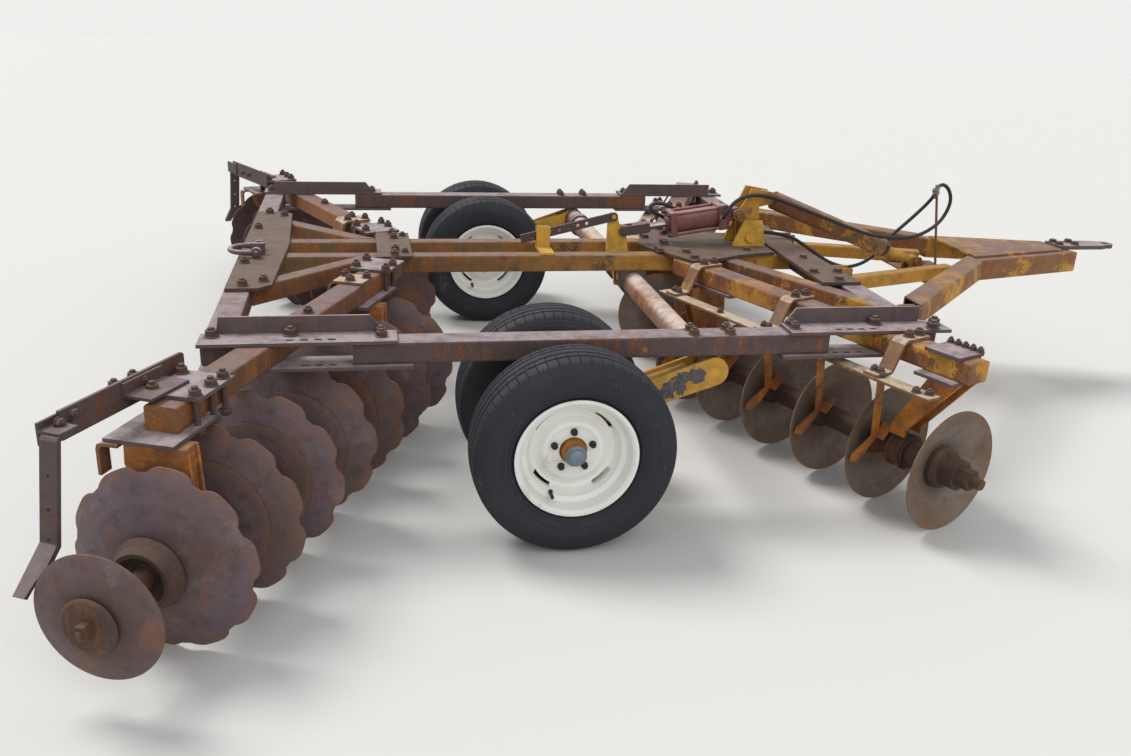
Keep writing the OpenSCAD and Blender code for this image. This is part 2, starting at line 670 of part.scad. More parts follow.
// Arms at the rear corners with drop legs
end_arm = [[-1142, -1582], [-1392, -2062]];
arm_plate_t = 10;
module along_arm() {
    d = end_arm[1] - end_arm[0];
    translate([end_arm[1][0], end_arm[1][1], 0]) rotate([0, 0, atan2(d[1], d[0])]) children();
}
arm_bottom = under_z + 53;
arm_top = arm_bottom + 83;
arm_end = -28;
leg_w = 54.5;
module end_arms() {
    color([0.33, 0.24, 0.23]) at_origin() both() difference() {
        along_arm() end_arm_pieces();
        // the leg clears the small end disc, which turns beside it
        rear_gang() translate([0, 0, end_gap - end_disc_dish - 16])
            cylinder(r = end_disc_r + 8, h = end_disc_dish + 26);
    }
}
module end_arm_pieces() {
    arm_l = norm(end_arm[1] - end_arm[0]);
    plate_top = frame_top + near + plate_t;
    half = arm_plate_t / 2;
    // the arm stands on edge behind the clamp
    translate([0, half, 0]) rotate([90, 0, 0])
        linear_extrude(arm_plate_t) difference() {
            polygon([[-arm_l, arm_bottom], [arm_end, arm_bottom], [arm_end, arm_top], [8 - arm_l, arm_top],
                     [-arm_l, arm_top - 8]]);
            translate([arm_end - 35, arm_bottom + 48]) circle(r = 9, $fn = 20);
            translate([arm_end - 280, arm_bottom + 40]) circle(r = 9, $fn = 20);
        }
    // an angle joins it to the clamp's upper plate
    translate([-430, half + 0.3, plate_top + 0.3]) rotate([90, 0, 90]) linear_extrude(170)
        polygon([[0, 0], [96, 0], [96, 9], [9, 9], [9, 42], [0, 42]]);
    // another angle at its outer end, with the leg's flange below it
    translate([0, -half - 0.3, 0]) {
        translate([-92, -8, arm_bottom + 10]) cube([130, 8, arm_top - arm_bottom - 20]);
        translate([arm_end + 0.5, -4, arm_top - 37]) cube([38 - arm_end - 0.5, leg_w + 14.5, 8]);
    }
    translate([0, half + 0.5 + leg_w, arm_top - 48.3]) rotate([90, 0, 0]) difference() {
        linear_extrude(leg_w)
            polygon([[-12, 0], [36, 0], [84, -276], [194, -374], [207, -364], [97, -266], [50, 2], [44, 11], [-12, 11]]);
        for (d = [-90, -178, -258])
            translate([0, d, leg_w / 2]) rotate([0, 90, 0]) cylinder(r = 5, h = 130, $fn = 16);
    }
}

// Brackets for the mast and for the stop bar
module brackets() {
    mast_bracket();
    guide_bracket();
}
module mast_bracket() {
    z0 = frame_top + near + deck_t + near;
    color([0.78, 0.56, 0.1]) at_origin() both()
        difference() {
            upright([[mast_x - 86, z0], [mast_x + 74, z0], [mast_x + 74, z0 + 10], [mast_x + 54, mast_z + 76],
                     [mast_x - 36, mast_z + 76], [mast_x - 86, z0 + 12]], -66, 14);
            cross_pin(mast_x, mast_z, 16.05, -90, -40);
        }
    color([0.4, 0.3, 0.2]) at_origin() {
        cross_pin(mast_x, mast_z, 16, -84, 84);
        for (s = [-1, 1]) translate([mast_x, s * 80, mast_z]) rotate([90, 0, 0])
            difference() {
                cylinder(r = 27, h = 9, center = true);
                cylinder(r = 16.3, h = 12, center = true);
            }
    }
}

// Bearings of the lift shaft: U straps under the inner rails and the side rails
module shaft_bearings() {
    color([0.3, 0.24, 0.2]) at_origin()
        for (y = [-rail_y + 210, -inner_rail_y, inner_rail_y, rail_y - 210])
            difference() {
                union() {
                    cross_pin(shaft_x, shaft_z, shaft_r + 12, y - 30, y + 30);
                    if (abs(y) < 400)
                        translate([shaft_x - 60, y - 30, shaft_z]) cube([120, 60, under_z - shaft_z - near]);
                }
                cross_pin(shaft_x, shaft_z, shaft_r + run_gap, y - 40, y + 40);
                translate([shaft_x - 100, y - 40, under_z - near]) cube([200, 80, 50]);
            }
}

// The lift: shaft, wheel arms and lever turn together
arm_side = 12;
shaft_end = rail_y + arm_w / 2 - arm_side - near;
lever_pin = [611, 752];
lever_top = [556, 822];
module lift_shaft() {
    color([0.75, 0.6, 0.52]) at_origin()
        difference() {
            cross_pin(shaft_x, shaft_z, shaft_r, -shaft_end, shaft_end);
            cross_pin(shaft_x, shaft_z, shaft_r - 10, -rail_y - arm_w, rail_y + arm_w);
        }
}
module arm_outline(grow, bored) {
    l = arm_len;
    difference() {
        union() {
            polygon([[0, -shaft_r - grow], [l, -46], [l, 46], [0, shaft_r + grow]]);
            circle(r = shaft_r + grow);
            translate([l, 0]) circle(r = 46);
        }
        if (bored) circle(r = shaft_r + 0.2);
        translate([l, 0]) circle(r = 30.2);
    }
}
module wheel_arms() {
    color([0.72, 0.52, 0.12]) at_origin() both()
        translate([shaft_x, -rail_y, shaft_z]) rotate([90, 0, 0]) rotate([0, 0, 180 + arm_tilt]) {
            for (s = [-1, 1])
                translate([0, 0, s * (arm_w - arm_side) / 2]) linear_extrude(arm_side, center = true)
                    arm_outline(4, s < 0);
            for (s = [-1, 1])
                translate([arm_len / 2 + 4, s * (shaft_r - 16), 0])
                    cube([arm_len - 160, 10, arm_w - 10], center = true);
        }
}
module lift_lever() {
    color([0.75, 0.53, 0.12]) at_origin()
        difference() {
            upright([[534, 650], [534, 816], [548, 834], [566, 834], [580, 816], [588, 784], [628, 772], [636, 750],
                     [626, 728], [640, 640], [694, 560], [694, 500], [640, 474], [580, 490], [572, 560]], 0, 24);
            cross_pin(lever_top[0], lever_top[1], 10.08, -30, 30);
            cross_pin(shaft_x, shaft_z, shaft_r + 0.2, -30, 30);
        }
    color([0.35, 0.25, 0.2]) at_origin() {
        cross_pin(lever_top[0], lever_top[1], 10, -34, 34);
    }
}
module wheel_spindles() {
    color([0.35, 0.3, 0.28]) at_origin() both()
        cross_pin(wheel_x, tyre_r, 30, -rail_y - dual_offset - 40, -rail_y + dual_offset + 40);
}

// Wheels
function tyre_pts(r, w) = [
    [rim_r - 14.5, -rim_w / 2 + 15], [rim_r + 6, -rim_w / 2 + 13], [rim_r + 20, -w * 0.43],
    [(r + rim_r) / 2, -w / 2], [r - 42, -w * 0.485], [r - 16, -w * 0.42],
    [r - 5, -w * 0.34], [r, -w * 0.2], [r, w * 0.2], [r - 5, w * 0.34], [r - 16, w * 0.42],
    [r - 42, w * 0.485], [(r + rim_r) / 2, w / 2], [rim_r + 20, w * 0.43],
    [rim_r + 6, rim_w / 2 - 13], [rim_r - 14.5, rim_w / 2 - 15]];
module tyre_at(y) {
    translate([wheel_x, y, tyre_r]) rotate([90, 0, 0])
        rotate_extrude($fn = 64) polygon(tyre_pts(tyre_r, tyre_w));
}
// Section of a rim: its well lies toward the open side, and the dish is welded inside the well
rim_h = rim_w / 2;
rim_pts = [
    [rim_r, rim_h - 4], [rim_r, rim_h - 1], [rim_r - 2, rim_h], [rim_r - 11, rim_h], [rim_r - 20, rim_h - 8],
    [rim_r - 27, rim_h - 36], [rim_r - 30, rim_h - 48], [rim_r - 48, rim_h - 56], [rim_r - 52, rim_h - 68],
    [151, 9], [147, 1], [134, -4], [120, 3], [104, 18], [92, 22], [80, 19], [hub_hole_r, 19], [hub_hole_r, 12],
    [81, 12], [91, 15], [101, 12], [117, -3], [134, -11], [149, -6], [rim_r - 52, 2],
    [rim_r - 52, -18], [rim_r - 48, -30], [rim_r - 30, -42], [rim_r - 26, -rim_h + 33], [rim_r - 20, -rim_h + 8],
    [rim_r - 11, -rim_h], [rim_r - 2, -rim_h], [rim_r, -rim_h + 1], [rim_r, -rim_h + 4],
    [rim_r - 8, -rim_h + 6], [rim_r - 15, -rim_h + 14], [rim_r - 20, -rim_h + 38], [rim_r - 25, -37],
    [rim_r - 42, -25], [rim_r - 46, -18], [rim_r - 46, 24], [rim_r - 42, 32],
    [rim_r - 24, 41], [rim_r - 21, rim_h - 38], [rim_r - 15, rim_h - 14], [rim_r - 8, rim_h - 6]];
// Rim with its dish; way = -1 has the open side toward the machine's right
module rim_at(y, way) {
    translate([wheel_x, y, tyre_r]) rotate([way < 0 ? 90 : -90, 0, 0])
        difference() {
            rotate_extrude($fn = 48) polygon(rim_pts);
            for (i = [0:rim_bolts - 1])
                rotate([0, 0, i * 360 / rim_bolts + 18])
                    translate([rim_bolt_pcr, 0, 0]) cylinder(r = 10, h = 40, $fn = 16);
            for (i = [0:3])
                rotate([0, 0, 45 + i * 90]) translate([0, 0, -14]) linear_extrude(38)
                    polygon([for (t = [-15:5:15]) 156 * [cos(t), sin(t)], for (t = [15:-5:-15]) 144 * [cos(t), sin(t)]]);
        }
}
module hub_at(y, way) {
    translate([wheel_x, y, tyre_r]) rotate([way < 0 ? 90 : -90, 0, 0])
        difference() {
            union() {
                translate([0, 0, -70]) cylinder(r = 42, h = 108);
                translate([0, 0, -2]) cylinder(r = 86, h = 13.5);
                cylinder(r = 34, h = 66);
            }
            translate([0, 0, -80]) cylinder(r = 30 + run_gap, h = 122);
        }
}
module tyre_right_outer() { color([0.08, 0.08, 0.09]) at_origin() tyre_at(-rail_y - dual_offset); }
module tyre_right_inner() { color([0.08, 0.08, 0.09]) at_origin() tyre_at(-rail_y + dual_offset); }
module tyre_left_outer() { color([0.08, 0.08, 0.09]) at_origin() tyre_at(rail_y + dual_offset); }
module tyre_left_inner() { color([0.08, 0.08, 0.09]) at_origin() tyre_at(rail_y - dual_offset); }
module rims_right() {
    color([0.88, 0.87, 0.82]) at_origin() {
        rim_at(-rail_y - dual_offset, -1);
        rim_at(-rail_y + dual_offset, 1);
    }
}
module rims_left() { color([0.88, 0.87, 0.82]) mirror([0, 1, 0]) rims_right(); }
module hubs_right() {
    color([0.6, 0.42, 0.15]) at_origin() {
        hub_at(-rail_y - dual_offset, -1);
        hub_at(-rail_y + dual_offset, 1);
    }
}
module hubs_left() { mirror([0, 1, 0]) hubs_right(); }

// Mast, cylinder and levelling tube
cyl_pin = [1160, 836];
level_top = [1300, 918];
level_pin = [2128, 596];
cyl_len = norm(cyl_pin - lever_pin);
cyl_tilt = atan2(cyl_pin[1] - lever_pin[1], cyl_pin[0] - lever_pin[0]);
level_len = norm(level_pin - level_top);
level_tilt = atan2(level_pin[1] - level_top[1], level_pin[0] - level_top[0]);

module mast() {
    color([0.62, 0.42, 0.14]) at_origin()
        for (y = [-42, 42])
            difference() {
                upright([[mast_x - 34, mast_z - 34], [mast_x + 34, mast_z - 34], [mast_x + 42, mast_z],
                         [mast_x + 38, level_top[1] - 42], [level_top[0] + 6, level_top[1] - 32],
                         [level_top[0] + 26, level_top[1] - 10], [level_top[0] + 26, level_top[1] + 26],
                         [level_top[0] - 84, level_top[1] + 44], [mast_x - 28, level_top[1] - 8],
                         [cyl_pin[0] + 4, cyl_pin[1] + 28], [cyl_pin[0] - 22, cyl_pin[1] + 16],
                         [cyl_pin[0] - 24, cyl_pin[1] - 18], [mast_x - 40, cyl_pin[1] - 34]], y, 14);
                cross_pin(mast_x, mast_z, 16 + run_gap, -60, 60);
                cross_pin(cyl_pin[0], cyl_pin[1], 13.2, -60, 60);
                cross_pin(level_top[0], level_top[1], 13.2, -60, 60);
            }
    color([0.35, 0.25, 0.2]) at_origin() {
        cross_pin(cyl_pin[0], cyl_pin[1], 13, -58, 58);
        cross_pin(level_top[0], level_top[1], 13, -58, 58);
    }
}
module along_cylinder() { translate([lever_pin[0], 0, lever_pin[1]]) rotate([0, -cyl_tilt, 0]) children(); }
module along_level() { translate([level_top[0], 0, level_top[1]]) rotate([0, -level_tilt, 0]) children(); }

cap_front = 222;   // front cap's front face, from the rod's eye
cap_rear = 490;    // rear cap's rear face
piston_x = 362;    // piston's front face
module cylinder_barrel() {
    color([0.45, 0.22, 0.2]) at_origin() along_cylinder() {
        difference() {
            union() {
                translate([cap_front + 20, 0, 0]) rotate([0, 90, 0]) cylinder(r = barrel_r, h = cap_rear - cap_front - 40);
                translate([cap_front, -58, -58]) cube([28, 116, 116]);
                translate([cap_rear - 34, -58, -58]) cube([34, 116, 116]);
                translate([cap_rear - 2, -27, -30]) cube([cyl_len - cap_rear + 2, 54, 60]);
                translate([cyl_len, 27, 0]) rotate([90, 0, 0]) cylinder(r = 30, h = 54);
            }
            translate([cap_front - 5, 0, 0]) rotate([0, 90, 0]) cylinder(r = rod_r + run_gap, h = 40);
            translate([cap_front + 28, 0, 0]) rotate([0, 90, 0]) cylinder(r = barrel_r - 8, h = cap_rear - cap_front - 62);
            translate([cyl_len, 40, 0]) rotate([90, 0, 0]) cylinder(r = 13 + run_gap, h = 80);
        }
        for (y = [-48, 48], z = [-48, 48])
            translate([cap_front + 28.3, y, z]) rotate([0, 90, 0]) cylinder(r = 7, h = cap_rear - cap_front - 62.6);
    }
}
module cylinder_rod() {
    color([0.75, 0.75, 0.76]) at_origin() along_cylinder() {
        translate([70, 0, 0]) rotate([0, 90, 0]) cylinder(r = rod_r, h = piston_x + 10 - 70);
        translate([piston_x, 0, 0]) rotate([0, 90, 0]) cylinder(r = barrel_r - 10, h = 26);
    }
}
module rod_clevis() {
    color([0.4, 0.28, 0.22]) at_origin() along_cylinder() {
        difference() {
            union() {
                translate([45, -30, -22]) cube([80, 60, 44]);
                for (s = [-1, 1]) translate([0, s * 23 + 7, 0]) {
                    rotate([90, 0, 0]) cylinder(r = 24, h = 14);
                    translate([0, -14, -22]) cube([50, 14, 44]);
                }
            }
            translate([70, 0, 0]) rotate([0, 90, 0]) cylinder(r = rod_r + 0.2, h = 100);
        }
        // the ends of the eye's pin
        for (s = [-1, 1]) translate([0, s * 33.2 + 3, 0]) rotate([90, 0, 0]) cylinder(r = 13, h = 6);
    }
}

// Stop bar: a flat bar with holes that slides through a guide on the inner rail
stop_end = [118, 716];
module stop_bar() {
    d = stop_end - lever_top;
    color([0.5, 0.36, 0.2]) at_origin()
        translate([lever_top[0], -23, lever_top[1]]) rotate([0, -atan2(d[1], d[0]), 0])
            rotate([90, 0, 0]) linear_extrude(10, center = true)
                difference() {
                    union() {
                        translate([0, -20]) square([norm(d), 40]);
                        circle(r = 20);
                    }
                    circle(r = 10.1);
                    for (i = [3:9]) translate([i * 44, 0]) circle(r = 8, $fn = 16);
                }
}
guide_t = 10;
guide_low = 4;
module guide_bracket() {
    color([0.6, 0.45, 0.3]) at_origin()
        translate([190, -23, 0]) {
            translate([0, -150, frame_top + near]) cube([64, 132, guide_t]);
            translate([0, -18, frame_top + near]) cube([64, 36, guide_low]);
            for (s = [-1, 1]) translate([0, s * 14 - 4, frame_top + near]) cube([64, 8, 101.5]);
        }
}

// Drawbar: two outer legs and two inner legs that meet in a box, pulled at its front plate
module drawbar_legs() {
    leg_top = hitch_pivot_z + leg_h / 2;
    color([0.5, 0.33, 0.2]) at_origin() both() {
        difference() {
            tube([hitch_pivot_x + 12, -leg_y], [leg_bend_x + 30, -leg_bend_y + 30 * leg_slope],
                 leg_top, tube_w, leg_h, tube_wall);
            translate([hitch_pivot_x - 150, -leg_y - 220, 0]) cube([150 + lug_reach + 0.4, 600, 900]);
            translate([leg_bend_x - near / 2, -leg_y, 0]) cube([200, 2 * leg_y, 900]);
        }
        difference() {
            tube([leg_bend_x - 30, -leg_bend_y + 8], [leg_end_x, -72], hitch_pivot_z + 40, tube_w - 18, leg_h + 8, tube_wall);
            translate([leg_bend_x - 200 + near / 2, -leg_y, 0]) cube([200, 2 * leg_y, 900]);
        }
    }
}
// How fast an outer leg comes in toward the middle
leg_slope = (leg_y - leg_bend_y) / (leg_bend_x - hitch_pivot_x - 12);
lug_reach = 60;
module drawbar_inner_legs() {
    color([0.72, 0.5, 0.12]) at_origin() both()
        tube([hitch_pivot_x + lug_reach + 10, -inner_leg_y], [leg_bend_x - 70, -150], hitch_pivot_z - 10, 64, 62, 6);
}
module drawbar_plates() {
    color([0.48, 0.3, 0.18]) at_origin() {
        slab([[leg_bend_x - 230, -225], [leg_bend_x + 20, -180], [leg_bend_x + 20, 180], [leg_bend_x - 230, 225]],
             hitch_pivot_z - 72 - near - 10, 10);
        slab([[leg_bend_x + 20, -226], [tongue_x0 - 4, -92], [tongue_x0 - 4, 92], [leg_bend_x + 20, 226]],
             hitch_pivot_z + 40.4, 10);
        rod_between([leg_bend_x - 48, 0, hitch_pivot_z - 72.2], [leg_bend_x - 110, 0, 950], 6);
        // lug for the levelling rod
        for (y = [-34, 34])
            difference() {
                upright([[level_pin[0] - 40, hitch_pivot_z - 72], [level_pin[0] + 50, hitch_pivot_z - 72],
                         [level_pin[0] + 26, level_pin[1] + 24], [level_pin[0] - 20, level_pin[1] + 26]], y, 12);
            }
        // the ends of the levelling rod's pin
        for (y = [-46.3, 46.3])
            cross_pin(level_pin[0], level_pin[1], 13, y - 6, y + 6);
        both() for (y = lug_y, s = [-1, 1])
            difference() {
                translate([hitch_pivot_x, -y + s * 28 + 8, hitch_pivot_z]) rotate([90, 0, 0])
                    linear_extrude(16)
                        union() {
                            circle(r = 34);
                            translate([0, -34]) square([lug_reach, 68]);
                        }
                cross_pin(hitch_pivot_x, hitch_pivot_z, 15 + run_gap, -1100, 0);
            }
    }
}
module hitch_tongue() {
    color([0.45, 0.36, 0.34]) at_origin()
        difference() {
            union() {
                slab([[tongue_x0, -60], [hitch_hole_x - 55, -58], [hitch_hole_x - 15, -40], [hitch_hole_x - 15, 40],
                      [hitch_hole_x - 55, 58], [tongue_x0, 60]], hitch_pivot_z + 40.4, 20);
                translate([hitch_hole_x, 0, hitch_pivot_z + 40.4]) cylinder(r = 40, h = 20);
            }
            translate([hitch_hole_x, 0, 500]) cylinder(r = hitch_hole_r, h = 300);
        }
}
tongue_x0 = leg_end_x - 60;
// Lugs on the front beam that carry the drawbar, and their pins
lug_y = [leg_y, inner_leg_y];
module pivot_lugs() {
    color([0.4, 0.3, 0.2]) at_origin() both()
        for (y = lug_y) {
            difference() {
                union() {
                    translate([front_beam_x + tube_w / 2 + near, -y - 18, hitch_pivot_z - 30])
                        cube([hitch_pivot_x - front_beam_x - tube_w / 2, 36, 60]);
                    cross_pin(hitch_pivot_x, hitch_pivot_z, 30, -y - 18, -y + 18);
                }
                cross_pin(hitch_pivot_x, hitch_pivot_z, 15.05, -y - 40, -y + 40);
            }
            cross_pin(hitch_pivot_x, hitch_pivot_z, 15, -y - 46, -y + 46);
        }
}

module levelling_tube() {
    color([0.48, 0.33, 0.2]) at_origin() along_level() {
        difference() {
            union() {
                translate([-8, -30, -26]) cube([60, 60, 52]);
                translate([0, 30, 0]) rotate([90, 0, 0]) cylinder(r = 30, h = 60);
                translate([50, 0, 0]) rotate([0, 90, 0]) cylinder(r = 44, h = 620);
                translate([640, 0, 0]) rotate([0, 90, 0]) cylinder(r = 50, h = 50);
            }
            translate([0, 40, 0]) rotate([90, 0, 0]) cylinder(r = 13 + run_gap, h = 80);
            translate([520, 0, 0]) rotate([0, 90, 0]) cylinder(r = 22, h = 200);
        }
    }
}
module levelling_screw() {
    color([0.75, 0.58, 0.15]) at_origin() along_level() {
        difference() {
            union() {
                translate([600, 0, 0]) rotate([0, 90, 0]) cylinder(r = 21, h = level_len - 600 - 20);
                translate([level_len, 20, 0]) rotate([90, 0, 0]) cylinder(r = 28, h = 40);
            }
        }
    }
}
// Hoses, swept along their routes
function sweep_dir(p, i) = let (n = len(p) - 1, a = p[max(0, i - 1)], b = p[min(n, i + 1)]) (b - a) / norm(b - a);
function smooth(p, k) = k == 0 ? p : smooth(concat([p[0]],
    [for (i = [0:len(p) - 2]) each [p[i] * 0.75 + p[i + 1] * 0.25, p[i] * 0.25 + p[i + 1] * 0.75]],
    [p[len(p) - 1]]), k - 1);
module hose(route, r) {
    p = smooth(route, 1);
    n = 8;
    m = len(p);
    pts = [for (i = [0:m - 1])
        let (d = sweep_dir(p, i),
             side = cross(d, [0.02, 1, 0.01]),
             u = side / norm(side),
             v = cross(d, u))
        for (j = [0:n - 1]) p[i] + r * (cos(j * 360 / n) * u + sin(j * 360 / n) * v)];
    faces = concat(
        [[for (j = [0:n - 1]) j]],
        [for (i = [0:m - 2]) for (j = [0:n - 1])
            each [[i * n + j, (i + 1) * n + j, (i + 1) * n + (j + 1) % n],
                  [i * n + j, (i + 1) * n + (j + 1) % n, i * n + (j + 1) % n]]],
        [[for (j = [n - 1:-1:0]) (m - 1) * n + j]]);
    polyhedron(pts, faces);
}
hose_a = [[1078, -58.4, 824], [1078, -72, 824], [1086, -80, 850], [1116, -80, 900], [1172, -76, 932],
          [1248, -74, 938], [1330, -73, 922], [1458, -72, 876], [1620, -72, 818], [1728, -72, 779],
          [1840, -72, 744], [1948, -71, 729], [2054, -66, 728], [2140, -46, 746], [2222, -26, 790],
          [2262, -20, 850], [2274, -19, 908], [2256, -18, 958], [2222, -18, 986], [2190, -18, 975], [2190, -18, 952]];
hose_b = [[844, 58.4, 788], [844, 74, 788], [816, 84, 806], [772, 92, 826], [760, 98, 850], [800, 102, 866],
          [870, 103, 846], [980, 104, 790], [1240, 104, 728], [1480, 96, 712], [1600, 88, 640], [1700, 80, 575],
          [1780, 76, 548], [1832, 74, 545], [1910, 72, 571], [1980, 72, 633], [2026, 70, 706], [2090, 60, 770],
          [2140, 46, 829], [2180, 34, 880], [2205, 22, 925], [2200, 18, 958]];
module hose_long() { color([0.05, 0.05, 0.06]) at_origin() hose(hose_a, 9); }
module hose_short() { color([0.05, 0.05, 0.06]) at_origin() hose(hose_b, 9); }

side_rails();
rail_end_plates();
cross_beams();
inner_rails();
braces();
deck_plates();
rear_clevis();
gang_beams();
gang_clamps();
gang_bearings();
gang_hangers();
scraper_bars();
scrapers();
end_arms();
brackets();
shaft_bearings();
pivot_lugs();
lift_shaft();
wheel_arms();
lift_lever();
wheel_spindles();
tyre_right_outer();
tyre_right_inner();
tyre_left_outer();
tyre_left_inner();
rims_right();
rims_left();
hubs_right();
hubs_left();
rear_discs_right();
rear_discs_left();
rear_plain_discs_right();
rear_plain_discs_left();
rear_spools_right();
rear_spools_left();
front_discs_right();
front_discs_left();
front_spools_right();
front_spools_left();
mast();
cylinder_barrel();
cylinder_rod();
rod_clevis();
stop_bar();
drawbar_legs();
drawbar_inner_legs();
drawbar_plates();
hitch_tongue();
levelling_tube();
levelling_screw();
hose_long();
hose_short();
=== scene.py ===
# A drawn tandem disc harrow, dressed over its solid model.
# Places are given in millimetres from the same stations as the solid model and turned into
# metres by st(). +X is the way the machine is pulled, +Z is up.
import math
import random

import bmesh
import bpy
from mathutils import Matrix, Vector


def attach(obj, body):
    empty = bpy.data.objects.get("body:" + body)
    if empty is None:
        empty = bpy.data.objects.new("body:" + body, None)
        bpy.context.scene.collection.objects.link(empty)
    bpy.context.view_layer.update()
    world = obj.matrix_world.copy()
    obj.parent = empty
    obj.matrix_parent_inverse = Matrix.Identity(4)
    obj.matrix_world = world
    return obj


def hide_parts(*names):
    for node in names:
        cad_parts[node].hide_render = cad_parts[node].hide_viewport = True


X_MID = 881.15
GANG = math.radians(22.2)

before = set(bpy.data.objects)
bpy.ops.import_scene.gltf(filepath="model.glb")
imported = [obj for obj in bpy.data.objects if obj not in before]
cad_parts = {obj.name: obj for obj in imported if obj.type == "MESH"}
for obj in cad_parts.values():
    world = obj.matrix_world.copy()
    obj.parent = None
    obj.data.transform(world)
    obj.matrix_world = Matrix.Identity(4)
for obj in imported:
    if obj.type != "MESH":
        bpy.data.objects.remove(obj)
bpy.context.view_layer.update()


def st(x, y, z):
    return Vector(((x - X_MID) / 1000.0, y / 1000.0, z / 1000.0))


# Camera at the photograph's place: angles in radians, focal length and picture width in pixels
CAMERA_AT = (-588.4, -4687.1, 1797.1)
YAW = 0.2004
PITCH = 0.3573
ROLL = 0.0432
FOCAL_PX = 1032.7
PHOTO_WIDTH_PX = 1131.0
SENSOR_MM = 36.0


def make_camera():
    place = st(*CAMERA_AT)
    level = math.cos(PITCH)
    ahead = Vector((math.sin(YAW) * level, math.cos(YAW) * level, -math.sin(PITCH)))
    right = Vector((math.cos(YAW), -math.sin(YAW), 0.0))
    up = right.cross(ahead)
    r2 = right * math.cos(ROLL) + up * math.sin(ROLL)
    u2 = up * math.cos(ROLL) - right * math.sin(ROLL)
    data = bpy.data.cameras.new("camera")
    data.sensor_width = SENSOR_MM
    data.lens = FOCAL_PX * SENSOR_MM / PHOTO_WIDTH_PX
    data.clip_start = 0.05
    data.clip_end = 60.0
    cam = bpy.data.objects.new("camera", data)
    bpy.context.scene.collection.objects.link(cam)
    m = Matrix((
        (r2.x, u2.x, -ahead.x, place.x),
        (r2.y, u2.y, -ahead.y, place.y),
        (r2.z, u2.z, -ahead.z, place.z),
        (0.0, 0.0, 0.0, 1.0)))
    cam.matrix_world = m
    bpy.context.scene.camera = cam


make_camera()


# Colours are written as they look on a screen
def lin(rgb):
    out = []
    for v in rgb:
        c = v / 255.0
        out.append(c / 12.92 if c <= 0.04045 else ((c + 0.055) / 1.055) ** 2.4)
    return (out[0], out[1], out[2], 1.0)


class Nodes:
    """Builds one material's nodes."""

    def __init__(self, name):
        self.mat = bpy.data.materials.new(name)
        self.mat.use_nodes = True
        self.tree = self.mat.node_tree
        self.tree.nodes.clear()
        self.out = self.tree.nodes.new("ShaderNodeOutputMaterial")
        self.bsdf = self.tree.nodes.new("ShaderNodeBsdfPrincipled")
        self.link(self.bsdf.outputs[0], self.out.inputs[0])
        self.coord = self.tree.nodes.new("ShaderNodeTexCoord")

    def link(self, a, b):
        self.tree.links.new(a, b)

    def node(self, kind):
        return self.tree.nodes.new(kind)

    def mapped(self, scale=(1.0, 1.0, 1.0), loc=(0.0, 0.0, 0.0)):
        m = self.node("ShaderNodeMapping")
        m.inputs["Scale"].default_value = scale
        m.inputs["Location"].default_value = loc
        self.link(self.coord.outputs["Object"], m.inputs["Vector"])
        return m.outputs[0]

    def noise(self, scale, detail=4.0, rough=0.6, stretch=(1.0, 1.0, 1.0), seed=0.0, distort=0.0):
        n = self.node("ShaderNodeTexNoise")
        n.inputs["Scale"].default_value = scale
        n.inputs["Detail"].default_value = detail
        n.inputs["Roughness"].default_value = rough
        n.inputs["Distortion"].default_value = distort
        self.link(self.mapped(stretch, (seed, seed * 0.7, seed * 1.3)), n.inputs["Vector"])
        return n.outputs[0]

    def ramp(self, value, lo, hi, a=0.0, b=1.0):
        r = self.node("ShaderNodeMapRange")
        r.interpolation_type = "SMOOTHSTEP"
        r.inputs["From Min"].default_value = lo
        r.inputs["From Max"].default_value = hi
        r.inputs["To Min"].default_value = a
        r.inputs["To Max"].default_value = b
        self.link(value, r.inputs["Value"])
        return r.outputs[0]

    def math(self, op, a, b):
        m = self.node("ShaderNodeMath")
        m.operation = op
        for i, v in enumerate((a, b)):
            if isinstance(v, (int, float)):
                m.inputs[i].default_value = v
            else:
                self.link(v, m.inputs[i])
        return m.outputs[0]

    def mix(self, fac, a, b):
        m = self.node("ShaderNodeMix")
        m.data_type = "RGBA"
        if isinstance(fac, (int, float)):
            m.inputs[0].default_value = fac
        else:
            self.link(fac, m.inputs[0])
        for i, v in ((6, a), (7, b)):
            if isinstance(v, tuple):
                m.inputs[i].default_value = v
            else:
                self.link(v, m.inputs[i])
        return m.outputs[2]

    def up(self):
        """How much the surface faces up on the object itself."""
        s = self.node("ShaderNodeSeparateXYZ")
        self.link(self.coord.outputs["Normal"], s.inputs[0])
        return s.outputs[2]

    def along(self):
        """How far forward a point lies on the object, in metres."""
        s = self.node("ShaderNodeSeparateXYZ")
        self.link(self.coord.outputs["Object"], s.inputs[0])
        return s.outputs[0]

    def bump(self, height, strength, dist, radius=0.0):
        b = self.node("ShaderNodeBump")
        b.inputs["Strength"].default_value = strength
        b.inputs["Distance"].default_value = dist
        self.link(height, b.inputs["Height"])
        if radius > 0.0:
            v = self.node("ShaderNodeBevel")
            v.samples = 4
            v.inputs["Radius"].default_value = radius
            self.link(v.outputs[0], b.inputs["Normal"])
        self.link(b.outputs[0], self.bsdf.inputs["Normal"])


# Tones of rust, paint, soil and bare steel
RUST = (136, 84, 50)
OCHRE = (196, 142, 52)
SOIL = (112, 98, 88)
BARE_STEEL = (96, 90, 92)
BARE_STEEL_DARK = (66, 60, 62)


def shade(rgb, k):
    """A tone made lighter or darker, from 0 to 1 in each part."""
    return tuple(min(1.0, k * c) for c in lin(rgb)[:3]) + (1.0,)


